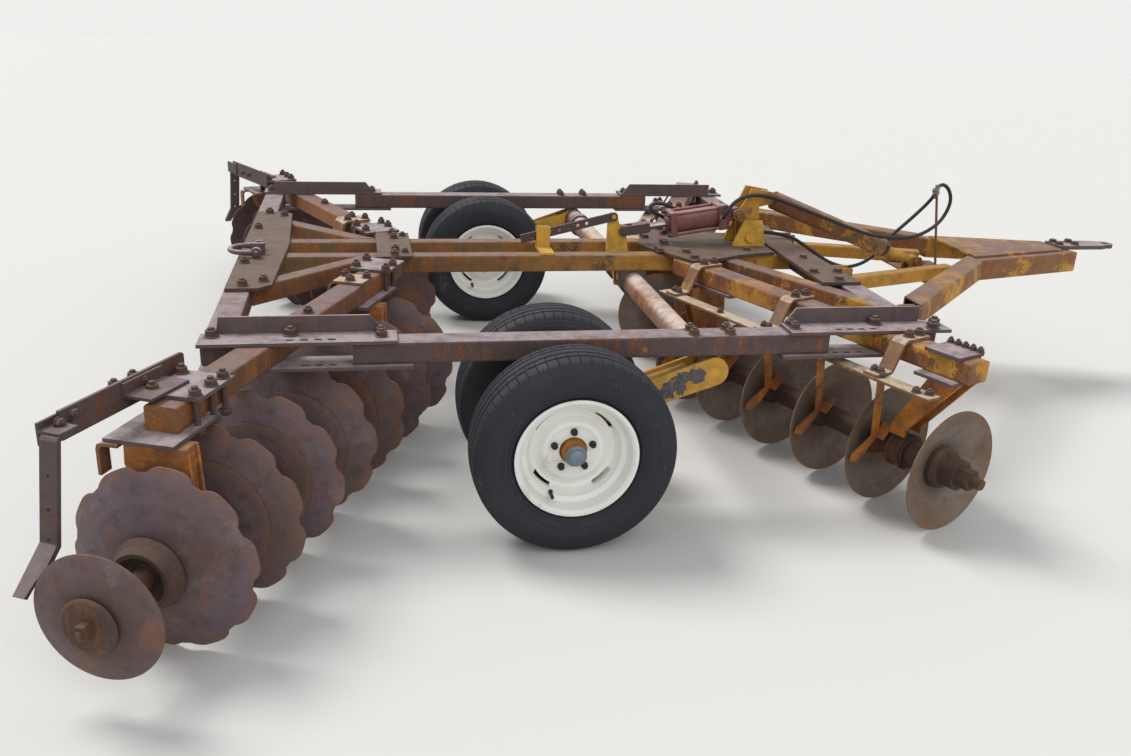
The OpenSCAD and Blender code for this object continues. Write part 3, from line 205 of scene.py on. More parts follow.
def worn_steel(name, top, side, patch, paint=None, paint_amount=0.0, patch_amount=0.5, dirt=0.5,
               seed=0.0, paint_size=5.0, fade=True, bare=()):
    """Old painted steel: a worn top lightened with painted sunlight, sides darkened with painted shade,
    rust patches, and what is left of the paint.
    """
    n = Nodes(name)
    facing = n.ramp(n.up(), 0.35, 0.85)
    cloud = n.noise(3.2, 5.0, 0.62, seed=seed)
    mid = n.noise(17.0, 6.0, 0.65, seed=seed + 3.0)
    fine = n.noise(95.0, 5.0, 0.7, seed=seed + 5.0)
    grain = n.noise(420.0, 3.0, 0.6, seed=seed + 8.0)
    streak = n.noise(30.0, 4.0, 0.6, stretch=(1.0, 1.0, 0.12), seed=seed + 9.0)
    # painted light: faces that point up take the lighter top tone and the rest the darker side tone, so sun
    # on the tops and shade on the sides are painted in, besides the wear and dust
    body = n.mix(facing, lin(side), lin(top))
    body = n.mix(n.ramp(mid, 0.42, 0.72, 0.0, 0.6), body, shade(side, 0.52))
    # painted highlight: flecks of a lighter copy of the top tone on faces that point up, as a sunlit sheen
    body = n.mix(n.math("MULTIPLY", facing, n.ramp(fine, 0.45, 0.75, 0.0, 0.55)), body, shade(top, 1.45))
    where = n.math("ADD", n.math("MULTIPLY", cloud, 0.6), n.math("MULTIPLY", streak, 0.4))
    amount = n.ramp(where, 0.62 - 0.22 * patch_amount, 0.72 - 0.22 * patch_amount)
    amount = n.math("MULTIPLY", amount, n.ramp(facing, 0.0, 1.0, 0.95, 0.35))
    rust = n.mix(n.ramp(fine, 0.35, 0.7), lin(patch), shade(patch, 0.45))
    body = n.mix(amount, body, rust)
    if paint is not None:
        spread = n.noise(paint_size, 6.0, 0.68, seed=seed + 12.0, distort=0.4)
        left = n.math("ADD", n.math("MULTIPLY", spread, 0.75), n.math("MULTIPLY", fine, 0.25))
        edge = 0.66 - 0.32 * paint_amount
        mask = n.ramp(left, edge, edge + 0.035)
        mask = n.math("MULTIPLY", mask, n.ramp(facing, 0.0, 1.0, 1.0, 0.55))
        if fade:
            mask = n.math("MULTIPLY", mask, n.ramp(n.along(), -1.3, 0.5, 0.12, 1.0))
        faded = n.mix(n.ramp(mid, 0.35, 0.7), lin(paint), shade(paint, 0.62))
        for centre, reach in bare:
            # a patch where the paint has come off down to grey steel
            gap = n.node("ShaderNodeVectorMath")
            gap.operation = "DISTANCE"
            n.link(n.coord.outputs["Object"], gap.inputs[0])
            gap.inputs[1].default_value = tuple(centre)
            ragged = n.math("MULTIPLY", n.math("SUBTRACT", mid, 0.5), 0.16)
            off = n.math("ADD", gap.outputs["Value"], ragged)
            mask = n.math("MULTIPLY", mask, n.ramp(off, reach, reach + 0.006))
            steel = n.mix(n.ramp(fine, 0.35, 0.7), lin(BARE_STEEL), lin(BARE_STEEL_DARK))
            body = n.mix(n.ramp(off, reach + 0.006, reach), body, steel)
        body = n.mix(mask, body, faded)
    soil = n.math("ADD", n.math("MULTIPLY", mid, 0.5), n.math("MULTIPLY", fine, 0.5))
    soil = n.ramp(soil, 0.5, 0.66, 0.0, dirt)
    body = n.mix(n.math("MULTIPLY", soil, n.ramp(facing, 0.0, 1.0, 0.4, 0.75)), body, lin(SOIL))
    n.link(body, n.bsdf.inputs["Base Color"])
    n.link(n.ramp(fine, 0.3, 0.75, 0.62, 0.88), n.bsdf.inputs["Roughness"])
    n.bsdf.inputs["Metallic"].default_value = 0.1
    height = n.math("ADD", n.math("MULTIPLY", fine, 0.7), n.math("MULTIPLY", grain, 0.3))
    n.bump(height, 0.55, 0.0012, radius=0.003)
    return n.mat


PALE_DISC = (128, 116, 116)
HUB_DARK_TONE = (62, 46, 38)
DISC_GRIT = (122, 108, 100)


def disc_steel(name, base, warm, edge, radius, centre, axis, seed):
    """Rusty disc steel with a band of painted sunlight towards the rim, ringed about its gang's line."""
    n = Nodes(name)
    cloud = n.noise(4.0, 5.0, 0.6, seed=seed)
    mid = n.noise(22.0, 6.0, 0.66, seed=seed + 2.0)
    fine = n.noise(120.0, 4.0, 0.7, seed=seed + 4.0)
    grain = n.noise(520.0, 3.0, 0.6, seed=seed + 6.0)
    # distance from the gang's line
    rel = n.node("ShaderNodeVectorMath")
    rel.operation = "SUBTRACT"
    n.link(n.coord.outputs["Object"], rel.inputs[0])
    rel.inputs[1].default_value = centre
    cross = n.node("ShaderNodeVectorMath")
    cross.operation = "CROSS_PRODUCT"
    n.link(rel.outputs[0], cross.inputs[0])
    cross.inputs[1].default_value = axis
    size = n.node("ShaderNodeVectorMath")
    size.operation = "LENGTH"
    n.link(cross.outputs[0], size.inputs[0])
    dist = size.outputs["Value"]
    body = n.mix(n.ramp(cloud, 0.38, 0.66), lin(base), lin(warm))
    body = n.mix(n.ramp(mid, 0.45, 0.72, 0.0, 0.7), body, shade(base, 0.5))
    wob = n.math("ADD", dist, n.math("MULTIPLY", n.math("SUBTRACT", mid, 0.5), 0.05))
    # painted highlight: the warmer rim tone is the sunlit edge's colour, painted all round the disc
    rim = n.ramp(wob, radius * 0.86, radius * 0.99)
    body = n.mix(n.math("MULTIPLY", rim, 0.55), body, lin(edge))
    # rust bloom in large soft patches, broken up by finer ones
    bloom = n.noise(5.5, 6.0, 0.7, seed=seed + 11.0, distort=0.5)
    bloom = n.math("ADD", n.math("MULTIPLY", bloom, 0.7), n.math("MULTIPLY", fine, 0.3))
    body = n.mix(n.ramp(bloom, 0.53, 0.63, 0.0, 0.7), body, lin(RUST))
    pale = n.noise(8.0, 6.0, 0.72, seed=seed + 14.0)
    body = n.mix(n.ramp(pale, 0.54, 0.68, 0.0, 0.4), body, lin(PALE_DISC))
    # darker towards the hub
    hub = n.ramp(wob, 0.14, 0.085)
    body = n.mix(n.math("MULTIPLY", hub, 0.5), body, lin(HUB_DARK_TONE))
    body = n.mix(n.ramp(fine, 0.55, 0.75, 0.0, 0.5), body, lin(DISC_GRIT))
    n.link(body, n.bsdf.inputs["Base Color"])
    n.link(n.ramp(fine, 0.3, 0.7, 0.5, 0.78), n.bsdf.inputs["Roughness"])
    n.bsdf.inputs["Metallic"].default_value = 0.25
    height = n.math("ADD", n.math("MULTIPLY", fine, 0.6), n.math("MULTIPLY", grain, 0.4))
    n.bump(height, 0.5, 0.001, radius=0.0015)
    return n.mat


def plain_finish(name, base, second, rough, metal, scale, amount, bump, seed,
                 radius=0.0015, speck=None, speck_amount=0.3):
    """Two mixed tones with specks, for rubber, enamel, hose and chrome."""
    n = Nodes(name)
    mid = n.noise(scale, 6.0, 0.62, seed=seed)
    fine = n.noise(scale * 8.0, 5.0, 0.7, seed=seed + 2.0)
    body = n.mix(n.ramp(mid, 0.4, 0.7, 0.0, amount), lin(base), lin(second))
    if speck is not None:
        both = n.math("ADD", n.math("MULTIPLY", mid, 0.55), n.math("MULTIPLY", fine, 0.45))
        body = n.mix(n.ramp(both, 0.585, 0.63, 0.0, speck_amount), body, lin(speck))
    n.link(body, n.bsdf.inputs["Base Color"])
    n.link(n.ramp(mid, 0.3, 0.7, rough[0], rough[1]), n.bsdf.inputs["Roughness"])
    n.bsdf.inputs["Metallic"].default_value = metal
    n.bump(fine, bump, 0.0008, radius=radius)
    return n.mat


# How far out a wheel arm lies, and its bare patches: x, height and radius
ARM_Y = 1363
BARE_ARM = [(458, 468, 0.034), (510, 492, 0.038), (566, 524, 0.032)]
# Worn steels: name, top (worn, lightened with painted sunlight), sides (darkened with painted shade),
# rust and paint, then how much paint, rust patches and dirt there is, and the seed
WORN = {
    "rail": ("rail_paint", (148, 134, 136), (86, 70, 68), (132, 84, 50), OCHRE, 0.18, 0.55, 0.4, 1.0),
    "beam": ("beam_paint", (122, 104, 102), (110, 74, 52), (150, 92, 48), OCHRE, 0.5, 0.8, 0.4, 2.0),
    "inner": ("inner_rail_paint", (120, 102, 100), (96, 68, 52), (140, 88, 46), OCHRE, 0.8, 0.7, 0.4, 3.0),
    "plate": ("plate_steel", (160, 145, 146), (94, 79, 80), (112, 72, 48), OCHRE, 0.0, 0.4, 0.5, 4.0),
    "deck": ("deck_steel", (106, 88, 76), (78, 58, 54), (118, 76, 50), OCHRE, 0.1, 0.5, 0.5, 5.0),
    "hanger": ("hanger_paint", (140, 106, 84), (150, 100, 68), (150, 90, 44),
               (190, 120, 48), 0.5, 0.9, 0.3, 6.0),
    "yellow": ("yellow_paint", (170, 134, 84), (150, 112, 66), (120, 78, 44),
               (206, 156, 60), 1.25, 0.5, 0.25, 7.0),
    "lever": ("lever_paint", (190, 150, 84), (190, 146, 70), (140, 92, 44),
              (214, 166, 66), 1.4, 0.4, 0.2, 8.0),
    "leg": ("leg_paint", (150, 124, 96), (140, 100, 62), (130, 82, 44), OCHRE, 0.85, 0.7, 0.3, 9.0),
    "drawbar": ("drawbar_paint", (124, 104, 94), (130, 92, 60),
                (146, 90, 48), OCHRE, 0.45, 0.8, 0.35, 10.0),
    "arm": ("end_arm_steel", (120, 104, 104), (82, 68, 68), (108, 70, 50), OCHRE, 0.0, 0.45, 0.3, 11.0),
    "scraper": ("scraper_steel", (190, 172, 150), (128, 92, 62), (140, 88, 48), OCHRE, 0.3, 0.6, 0.3, 12.0),
    "shaft": ("shaft_paint", (202, 182, 170), (140, 108, 86), (140, 88, 52), OCHRE, 0.35, 0.6, 0.3, 13.0),
    "mast": ("mast_paint", (150, 122, 92), (128, 92, 58), (136, 84, 42), OCHRE, 0.75, 0.7, 0.3, 14.0),
    "tube": ("levelling_paint", (152, 128, 112), (124, 92, 66), (138, 86, 46), OCHRE, 0.5, 0.7, 0.3, 15.0),
    "bolt": ("bolt_steel", (104, 86, 82), (78, 60, 54), (112, 68, 44), None, 0.0, 0.5, 0.3, 16.0),
    "wheel_nut": ("wheel_nut_steel", (58, 50, 50), (42, 36, 36), (74, 50, 40), None, 0.0, 0.4, 0.2, 16.5),
    "weld": ("weld_metal", (96, 78, 72), (84, 62, 52), (120, 72, 44), None, 0.0, 0.7, 0.2, 17.0),
    "spool": ("spool_iron", (92, 72, 60), (70, 52, 44), (104, 66, 42), None, 0.0, 0.6, 0.4, 18.0),
    "cylinder": ("cylinder_paint", (158, 124, 124), (122, 78, 74), (120, 70, 48),
                 (150, 52, 40), 0.3, 0.4, 0.4, 19.0),
}
# What a few of them have besides: size of the paint's patches, no fading to the rear, bare steel
MORE = {
    "hanger": {"fade": False},
    "lever": {"fade": False},
    "yellow": {"paint_size": 3.2, "fade": False,
               "bare": [(st(x, y, z), r) for y in (-ARM_Y, ARM_Y) for x, z, r in BARE_ARM]},
}
# Plain finishes: name, two tones, roughness from and to, metal, scale, share of the second tone,
# bump and seed, then the rounding of the edges, the specks' tone and how much they show
PLAIN = {
    "tyre": ("tyre_rubber", (26, 28, 36), (40, 41, 47), (0.62, 0.85), 0.0, 9.0, 0.6, 0.35, 20.0,
             0.0, (98, 92, 86), 0.35),
    "rim": ("rim_enamel", (232, 232, 226), (218, 216, 206), (0.3, 0.5), 0.0, 5.0, 0.6, 0.06, 21.0,
            0.002, (150, 110, 78), 0.25),
    "hub": ("hub_paint", (176, 118, 44), (120, 72, 34), (0.5, 0.75), 0.1, 22.0, 0.8, 0.4, 22.0,
            0.002, (84, 62, 48), 0.5),
    "cap": ("hub_cap_grey", (118, 130, 142), (92, 100, 110), (0.4, 0.6), 0.3, 30.0, 0.6, 0.2, 23.0),
    "chrome": ("rod_chrome", (168, 166, 164), (120, 108, 100), (0.18, 0.4), 1.0, 26.0, 0.5, 0.15,
               24.0, 0.001, (110, 82, 60), 0.4),
    "hose": ("hose_rubber", (24, 24, 27), (44, 43, 44), (0.45, 0.7), 0.0, 18.0, 0.5, 0.25, 25.0,
             0.0, (92, 86, 80), 0.25),
    "fitting": ("fitting_zinc", (142, 138, 128), (96, 84, 72), (0.35, 0.6), 0.8, 40.0, 0.6, 0.2, 26.0),
}
MAT = {key: worn_steel(*row, **MORE.get(key, {})) for key, row in WORN.items()}
MAT.update({key: plain_finish(*row) for key, row in PLAIN.items()})


def use(node, key):
    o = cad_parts[node]
    if len(o.material_slots) == 0:
        o.data.materials.append(MAT[key])
    for s in o.material_slots:
        s.material = MAT[key]


CAD_FINISH = {
    "rail": ["side_rails", "cross_beams"],
    "beam": ["gang_beams", "braces"],
    "inner": ["inner_rails"],
    "plate": ["rail_end_plates", "gang_clamps", "rear_clevis", "shaft_bearings", "hitch_tongue"],
    "deck": ["deck_plates"],
    "hanger": ["gang_hangers", "scrapers"],
    "scraper": ["scraper_bars"],
    "yellow": ["wheel_arms", "levelling_screw"],
    "lever": ["lift_lever", "brackets"],
    "leg": ["drawbar_inner_legs"],
    "drawbar": ["drawbar_legs", "drawbar_plates", "pivot_lugs"],
    "arm": ["end_arms", "stop_bar", "rod_clevis", "wheel_spindles"],
    "shaft": ["lift_shaft"],
    "mast": ["mast"],
    "tube": ["levelling_tube"],
    "spool": ["gang_bearings", "rear_spools_right", "rear_spools_left", "front_spools_right",
              "front_spools_left"],
    "cylinder": ["cylinder_barrel"],
    "rim": ["rims_right", "rims_left"],
    "hub": ["hubs_right", "hubs_left"],
    "chrome": ["cylinder_rod"],
    "tyre": ["tyre_right_outer", "tyre_right_inner", "tyre_left_outer", "tyre_left_inner"],
    "hose": ["hose_long", "hose_short"],
}
for key, names in CAD_FINISH.items():
    for name in names:
        use(name, key)

# Gang lines of the right-hand side: the outermost disc's hub, its height, and which way the line
# leans as it runs outward
REAR_HUB = (-1185.0, -2100.0)
FRONT_HUB = (1445.0, -1572.0)
REAR_HUB_Z = 282.0
FRONT_HUB_Z = 230.0
REAR_LINE = (REAR_HUB, REAR_HUB_Z, -1.0)
FRONT_LINE = (FRONT_HUB, FRONT_HUB_Z, 1.0)
# Discs: node, radius, line, side, then plain, warm and rim tones (the rim's is painted sunlight) and the
# seed
DISCS = [
    ("rear_discs_right", 0.282, REAR_LINE, -1, (102, 87, 93), (98, 76, 68), (122, 88, 70), 31.0),
    ("rear_discs_left", 0.282, REAR_LINE, 1, (94, 80, 84), (94, 73, 66), (118, 86, 68), 32.0),
    ("rear_plain_discs_right", 0.19, REAR_LINE, -1, (98, 80, 82), (92, 72, 66), (116, 86, 68), 33.0),
    ("rear_plain_discs_left", 0.19, REAR_LINE, 1, (92, 76, 76), (92, 70, 62), (116, 84, 66), 34.0),
    ("front_discs_right", 0.23, FRONT_LINE, -1, (124, 112, 100), (110, 84, 68), (128, 96, 72), 35.0),
    ("front_discs_left", 0.23, FRONT_LINE, 1, (118, 106, 96), (106, 82, 66), (126, 94, 72), 36.0),
]
for name, radius, (hub, hub_z, lean), side, base, warm, edge, seed in DISCS:
    centre = tuple(st(hub[0], -side * hub[1], hub_z))
    axis = (lean * math.sin(GANG), side * math.cos(GANG), 0.0)
    MAT[name] = disc_steel(name + "_steel", base, warm, edge, radius, centre, axis, seed)
    use(name, name)


# Meshes
def add_object(name, bm, mat, body, smooth=False):
    mesh = bpy.data.meshes.new(name)
    bm.normal_update()
    bm.to_mesh(mesh)
    bm.free()
    o = bpy.data.objects.new(name, mesh)
    bpy.context.scene.collection.objects.link(o)
    mesh.materials.append(MAT[mat])
    if smooth:
        for p in mesh.polygons:
            p.use_smooth = True
    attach(o, body)
    return o


def ring_loft(bm, rings, close=False):
    """Joins rings of points with quads, and either closes the row of rings or caps its two ends."""
    rows = [[bm.verts.new(p) for p in ring] for ring in rings]
    n = len(rows[0])
    last = len(rows) if close else len(rows) - 1
    for i in range(last):
        a = rows[i]
        b = rows[(i + 1) % len(rows)]
        for j in range(n):
            k = (j + 1) % n
            bm.faces.new((a[j], a[k], b[k], b[j]))
    if not close:
        bm.faces.new(list(reversed(rows[0])))
        bm.faces.new(rows[-1])


def frame_from(axis):
    z = Vector(axis).normalized()
    helper = Vector((0.0, 0.0, 1.0)) if abs(z.z) < 0.9 else Vector((1.0, 0.0, 0.0))
    x = helper.cross(z).normalized()
    y = z.cross(x)
    return x, y, z


def circle(centre, x, y, r, count):
    """Points round a centre, in the plane of x and y."""
    angles = [2.0 * math.pi * j / count for j in range(count)]
    return [centre + (x * math.cos(a) + y * math.sin(a)) * r for a in angles]


def turned(bm, place, axis, profile, count=20):
    """A turned piece: profile is a list of (height, radius) along axis from place."""
    x, y, z = frame_from(axis)
    ring_loft(bm, [circle(place + z * h, x, y, r, count) for h, r in profile])


def hex_piece(bm, place, axis, flat, height, turn, base=0.0):
    """A hexagon nut or head with its corners rounded off at the outer face."""
    x, y, z = frame_from(axis)
    big = flat / math.sqrt(3.0)
    rings = []
    # share of the height, radius at the corners and radius at the flats
    steps = ((0.0, big, flat / 2.0), (0.82, big, flat / 2.0), (0.93, big * 0.94, flat * 0.492),
             (1.0, flat * 0.45, flat * 0.45))
    for share, r_corner, r_flat in steps:
        h = base + height * share
        ring = []
        for j in range(12):
            a = math.pi * j / 6.0 + turn
            r = r_corner if j % 2 == 0 else r_flat
            ring.append(place + z * h + (x * math.cos(a) + y * math.sin(a)) * r)
        rings.append(ring)
    ring_loft(bm, rings)


def thread(bm, place, axis, r, h0, h1, pitch):
    """A stud end with thread rings and a small chamfer."""
    profile = [(h0, r)]
    h = h0
    while h + pitch < h1 - pitch:
        profile.append((h + pitch * 0.5, r * 0.9))
        h += pitch
        profile.append((h, r))
    profile.append((h1 - pitch * 0.4, r))
    profile.append((h1, r * 0.72))
    turned(bm, place, axis, profile, 12)


def bolt(bm, place, axis, size, turn=0.0, nut=True, washer=True, reach=0.6):
    """A bolt end on a face: washer, nut and thread, or a head. size is the thread in metres."""
    h = 0.0
    z = Vector(axis).normalized()
    if washer:
        t = size * 0.16
        turned(bm, place, z, [(0.0, size * 1.08), (t * 0.7, size * 1.08), (t, size * 1.03)], 20)
        h = t
    tall = size * (0.85 if nut else 0.65)
    hex_piece(bm, place, z, size * 1.55, tall, turn, h)
    if nut:
        thread(bm, place, z, size * 0.48, h + tall - 0.001, h + tall + size * reach, size * 0.14)


BEAD_SIDES = 7


def bead(bm, pts, r, seed):
    """A weld bead along a line of points, with the ripples that a weld has."""
    rnd = random.Random(seed)
    total = []
    for a, b in zip(pts[:-1], pts[1:]):
        steps = max(2, int((b - a).length / (r * 0.9)))
        for i in range(steps):
            total.append(a + (b - a) * (i / steps))
    total.append(pts[-1])
    rings = []
    for i, p in enumerate(total):
        d = total[min(i + 1, len(total) - 1)] - total[max(i - 1, 0)]
        x, y, z = frame_from(d)
        k = r * (1.0 if i % 2 == 0 else 0.8) * (0.85 + 0.3 * rnd.random())
        if i in (0, len(total) - 1):
            k = r * 0.45
        rings.append(circle(p, x, y, k, BEAD_SIDES))
    ring_loft(bm, rings)


# Hoses: their routes are the same as in the solid model
HOSE_A = [
    (1078, -58.4, 824), (1078, -72, 824), (1086, -80, 850), (1116, -80, 900), (1172, -76, 932),
    (1248, -74, 938), (1330, -73, 922), (1458, -72, 876), (1620, -72, 818), (1728, -72, 779),
    (1840, -72, 744), (1948, -71, 729), (2054, -66, 728), (2140, -46, 746), (2222, -26, 790),
    (2262, -20, 850), (2274, -19, 908), (2256, -18, 958), (2222, -18, 986), (2190, -18, 975),
    (2190, -18, 952)]
HOSE_B = [
    (844, 58.4, 788), (844, 74, 788), (816, 84, 806), (772, 92, 826), (760, 98, 850), (800, 102, 866),
    (870, 103, 846), (980, 104, 790), (1240, 104, 728), (1480, 96, 712), (1600, 88, 640), (1700, 80, 575),
    (1780, 76, 548), (1832, 74, 545), (1910, 72, 571), (1980, 72, 633), (2026, 70, 706), (2090, 60, 770),
    (2140, 46, 829), (2180, 34, 880), (2205, 22, 925), (2200, 18, 958)]
HOSE_D = 0.018
# A piece drawn in place of a solid keeps this far inside it
SKIN = 0.0002


def rounded(pts, rounds):
    """Cuts the corners of a line of points, each round more finely."""
    for _ in range(rounds):
        new = [pts[0]]
        for a, b in zip(pts[:-1], pts[1:]):
            new.append(a * 0.75 + b * 0.25)
            new.append(a * 0.25 + b * 0.75)
        new.append(pts[-1])
        pts = new
    return pts


def sweep(bm, pts, r, count):
    """A round body along a line of points."""
    rings = []
    side = None
    for i, p in enumerate(pts):
        d = (pts[min(i + 1, len(pts) - 1)] - pts[max(i - 1, 0)]).normalized()
        if side is None:
            side = frame_from(d)[0]
        side = (side - d * side.dot(d)).normalized()
        other = d.cross(side)
        rings.append(circle(p, side, other, r, count))
    ring_loft(bm, rings)


def hose(name, route):
    """A hose's cover in place of its solid; gives the piece, its centre line and its length."""
    fine = rounded([st(*p) for p in route], 2)
    bm = bmesh.new()
    sweep(bm, fine, HOSE_D / 2.0 - SKIN, 16)
    o = add_object(name + "_cover", bm, "hose", "frame", True)
    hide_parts(name)
    length = sum((b - a).length for a, b in zip(fine[:-1], fine[1:]))
    return o, fine, length


# A crimped collar's outline: height and radius in metres
COLLAR = [(0.0, 0.0104), (0.003, 0.0118), (0.008, 0.0118), (0.010, 0.0108), (0.014, 0.0118),
          (0.019, 0.0118), (0.021, 0.0108), (0.025, 0.0118), (0.030, 0.0118), (0.032, 0.0102)]


def hose_end(name, pts, back):
    """A crimped collar with its hexagon on the last straight run of a hose, back metres from its tip."""
    bm = bmesh.new()
    d = (pts[-1] - pts[-3]).normalized()
    start = pts[-1] - d * back
    turned(bm, start, d, COLLAR)
    hex_piece(bm, start, d, 0.024, 0.0145, 0.3, 0.034)
    return add_object(name, bm, "fitting", "frame")


hose_long, line_a, length_a = hose("hose_long", HOSE_A)
hose_short, line_b, length_b = hose("hose_short", HOSE_B)
ends_a = hose_end("hose_long_ends", line_a, 0.030)
ends_b = hose_end("hose_short_ends", line_b, 0.050)


# Places by the gangs of the right-hand side: lateral is across the gang, along runs outward
SIN = math.sin(GANG)
COS = math.cos(GANG)


def rear_at(lateral, along):
    return lateral * COS - along * SIN, -lateral * SIN - along * COS


def front_at(lateral, along):
    return FRONT_HUB[0] + lateral * COS + along * SIN, FRONT_HUB[1] + lateral * SIN - along * COS


UP = Vector((0.0, 0.0, 1.0))
DOWN = Vector((0.0, 0.0, -1.0))
# Heights of the faces that bolts sit on
PLATE_TOP = 687.8
DECK_TOP = 689.8
STRAP_TOP = 686.8
RAIL_TOP = 675.2
LOW_PLATE = 586.3
BAR_TOP = 566.2

# Bolts that stand on top of plates: x, y, height of the face, thread size
REAR_PLATE_BOLTS = [
    (-1060, -680, DECK_TOP, 22), (-1085, -330, DECK_TOP, 20), (-985, -620, DECK_TOP, 20)]
CENTRE_BOLTS = [
    (-465, -205, DECK_TOP, 20), (-459, -120, DECK_TOP, 20), (-418, -160, DECK_TOP, 16)]
RAIL_BOLTS = [
    (-1096, -1300, PLATE_TOP, 24), (-843, -1300, PLATE_TOP, 24), (-545, -1330, PLATE_TOP, 20),
    (-545, -1296, PLATE_TOP, 20), (1261, -1300, PLATE_TOP, 24), (1492, -1318, PLATE_TOP, 24),
    (1462, -1366, PLATE_TOP, 24), (935, -1330, PLATE_TOP, 20), (935, -1296, PLATE_TOP, 20),
    (551, -1290, RAIL_TOP, 20), (686, -1290, RAIL_TOP, 20), (551, -1342, RAIL_TOP, 20),
    (686, -1342, RAIL_TOP, 20)]
DECK_BOLTS = [
    (752, -118, DECK_TOP, 20), (752, -160, DECK_TOP, 20), (815, -20, DECK_TOP, 20),
    (868, -190, DECK_TOP, 22), (876, -300, DECK_TOP, 22), (1180, -150, DECK_TOP, 18),
    (1340, -560, DECK_TOP, 22), (1452, -560, DECK_TOP, 22), (1400, -690, DECK_TOP, 22),
    (1400, -300, DECK_TOP, 20)]
STRAP_BOLTS = [rear_at(-420, 752) + (STRAP_TOP, 20), rear_at(-328, 752) + (STRAP_TOP, 20),
               rear_at(-374, 812) + (STRAP_TOP, 20), rear_at(-360, 1234) + (RAIL_TOP, 20)]
# Clamp bolts run from the upper plate to the lower one beside the beam
CLAMP_BOLTS = [rear_at(a, b) for a, b in (
    (-300, 1950), (-300, 2018), (-300, 2104), (-432, 1950), (-432, 2104),
    (-434, 602), (-434, 487), (-299, 535), (-299, 616))]
FRONT_CLAMP_BOLTS = [front_at(18, b) for b in (-45, -14, 17, 48, 78)]
# Middle of a front scraper bar from its outermost disc's hub, and the straps' places along it
BAR_LATERAL = -217.7
BAR_STRAPS = (-1299.6, -730.7, -159.3)
STRAP_BOLT_LATERALS = (150.0, 205.0)
# Between two front discs, and from a disc to its scraper's stalk
DISC_GAP = 289.0
STALK_AT = 158.0


def both_sides(table):
    """The table and its mirror image on the left-hand side."""
    return table + [(t[0], -t[1]) + tuple(t[2:]) for t in table]


def bolt_group(name, table, nut, seed):
    rnd = random.Random(seed)
    bm = bmesh.new()
    for x, y, z, size in both_sides(table):
        bolt(bm, st(x, y, z), UP, size / 1000.0, rnd.uniform(0.0, 1.0), nut=nut, reach=0.35)
    return add_object(name, bm, "bolt", "frame")


bolt_group("rear_plate_bolts", REAR_PLATE_BOLTS, True, 11)
bolt_group("centre_plate_bolts", CENTRE_BOLTS, True, 12)
bolt_group("rail_plate_bolts", RAIL_BOLTS, True, 13)
bolt_group("deck_bolts", DECK_BOLTS, False, 14)
bolt_group("rear_strap_bolts", STRAP_BOLTS, True, 15)


# How far a clamp bolt's shank runs into the nut and the head
SHANK_EXTRA = 0.002


def clamp_bolts(name, table, size, seed):
    rnd = random.Random(seed)
    bm = bmesh.new()
    for x, y in both_sides(table):
        top = st(x, y, PLATE_TOP)
        foot = st(x, y, LOW_PLATE - 0.3)
        shank = [(0.0, size * 0.48), ((top - foot).length + 2.0 * SHANK_EXTRA, size * 0.48)]
        turned(bm, foot - UP * SHANK_EXTRA, UP, shank, 12)
        bolt(bm, top, UP, size, rnd.uniform(0.0, 1.0), reach=0.5)
        bolt(bm, foot, DOWN, size, rnd.uniform(0.0, 1.0), nut=False)
    return add_object(name, bm, "bolt", "frame")


clamp_bolts("rear_clamp_bolts", CLAMP_BOLTS, 0.020, 16)
clamp_bolts("front_clamp_bolts", FRONT_CLAMP_BOLTS, 0.014, 17)


# Bolts of the front straps and scrapers
STRAP_FOOT_TOP = 577.3


def scraper_bolts():
    table = []
    for a in BAR_STRAPS:
        table.append(front_at(BAR_LATERAL + 8.0, a - 14.0) + (STRAP_FOOT_TOP, 16))
        table.append(front_at(BAR_LATERAL + 8.0, a + 14.0) + (STRAP_FOOT_TOP, 16))
        for lateral in STRAP_BOLT_LATERALS:
            table.append(front_at(BAR_LATERAL + lateral, a) + (STRAP_TOP, 20))
    for i in range(1, 6):
        table.append(front_at(BAR_LATERAL - 2.0, -i * DISC_GAP + STALK_AT) + (BAR_TOP, 14))
    table.append(front_at(BAR_LATERAL - 12.0, 30.0) + (BAR_TOP, 16))
    table.append(front_at(BAR_LATERAL + 12.0, 66.0) + (BAR_TOP, 16))
    return bolt_group("scraper_bar_bolts", table, True, 18)


scraper_bolts()


# Bolts through the hangers' side plates, just above each bearing: the places are along the gang
HANGERS = [(REAR_LINE, (-176.0, -1621.0)), (FRONT_LINE, (-1309.0,))]
BEARING_HALF = 31.3
HANGER_BOLT_Z = 102.0
HANGER_BOLT_HALF = 44.0


def hanger_bolts():
    bm = bmesh.new()
    rnd = random.Random(19)
    for side in (1.0, -1.0):
        for (hub, hub_z, lean), places in HANGERS:
            out = Vector((lean * SIN, -COS * side, 0.0))
            across = Vector((COS, lean * SIN * side, 0.0))
            base = st(hub[0], hub[1] * side, hub_z + HANGER_BOLT_Z)
            for a in places:
                for face in (-1.0, 1.0):
                    for u in (-HANGER_BOLT_HALF, HANGER_BOLT_HALF):
                        p = base + out * ((a + face * BEARING_HALF) / 1000.0) + across * (u / 1000.0)
                        bolt(bm, p, out * face, 0.018, rnd.uniform(0.0, 1.0), reach=0.3)
    return add_object("hanger_bolts", bm, "bolt", "frame")


hanger_bolts()


# Tyres: a ribbed tread with sipes, a shoulder and a sidewall with raised rings. WHEEL is x and height
# of the wheels' line, RAIL_Y the middle of a twin pair and DUAL half the way between its tyres
TYRE_R = 0.352
WHEEL = (80.0, 352.0)
RAIL_Y = 1315.0
DUAL = 247.0
TREAD_BLOCKS = 60
BLOCK_STEPS = (0.0, 0.055, 0.11, 0.55)
GROOVE = 0.0085
SIPE = 0.0045
OUTER_GROOVE = GROOVE + 0.002
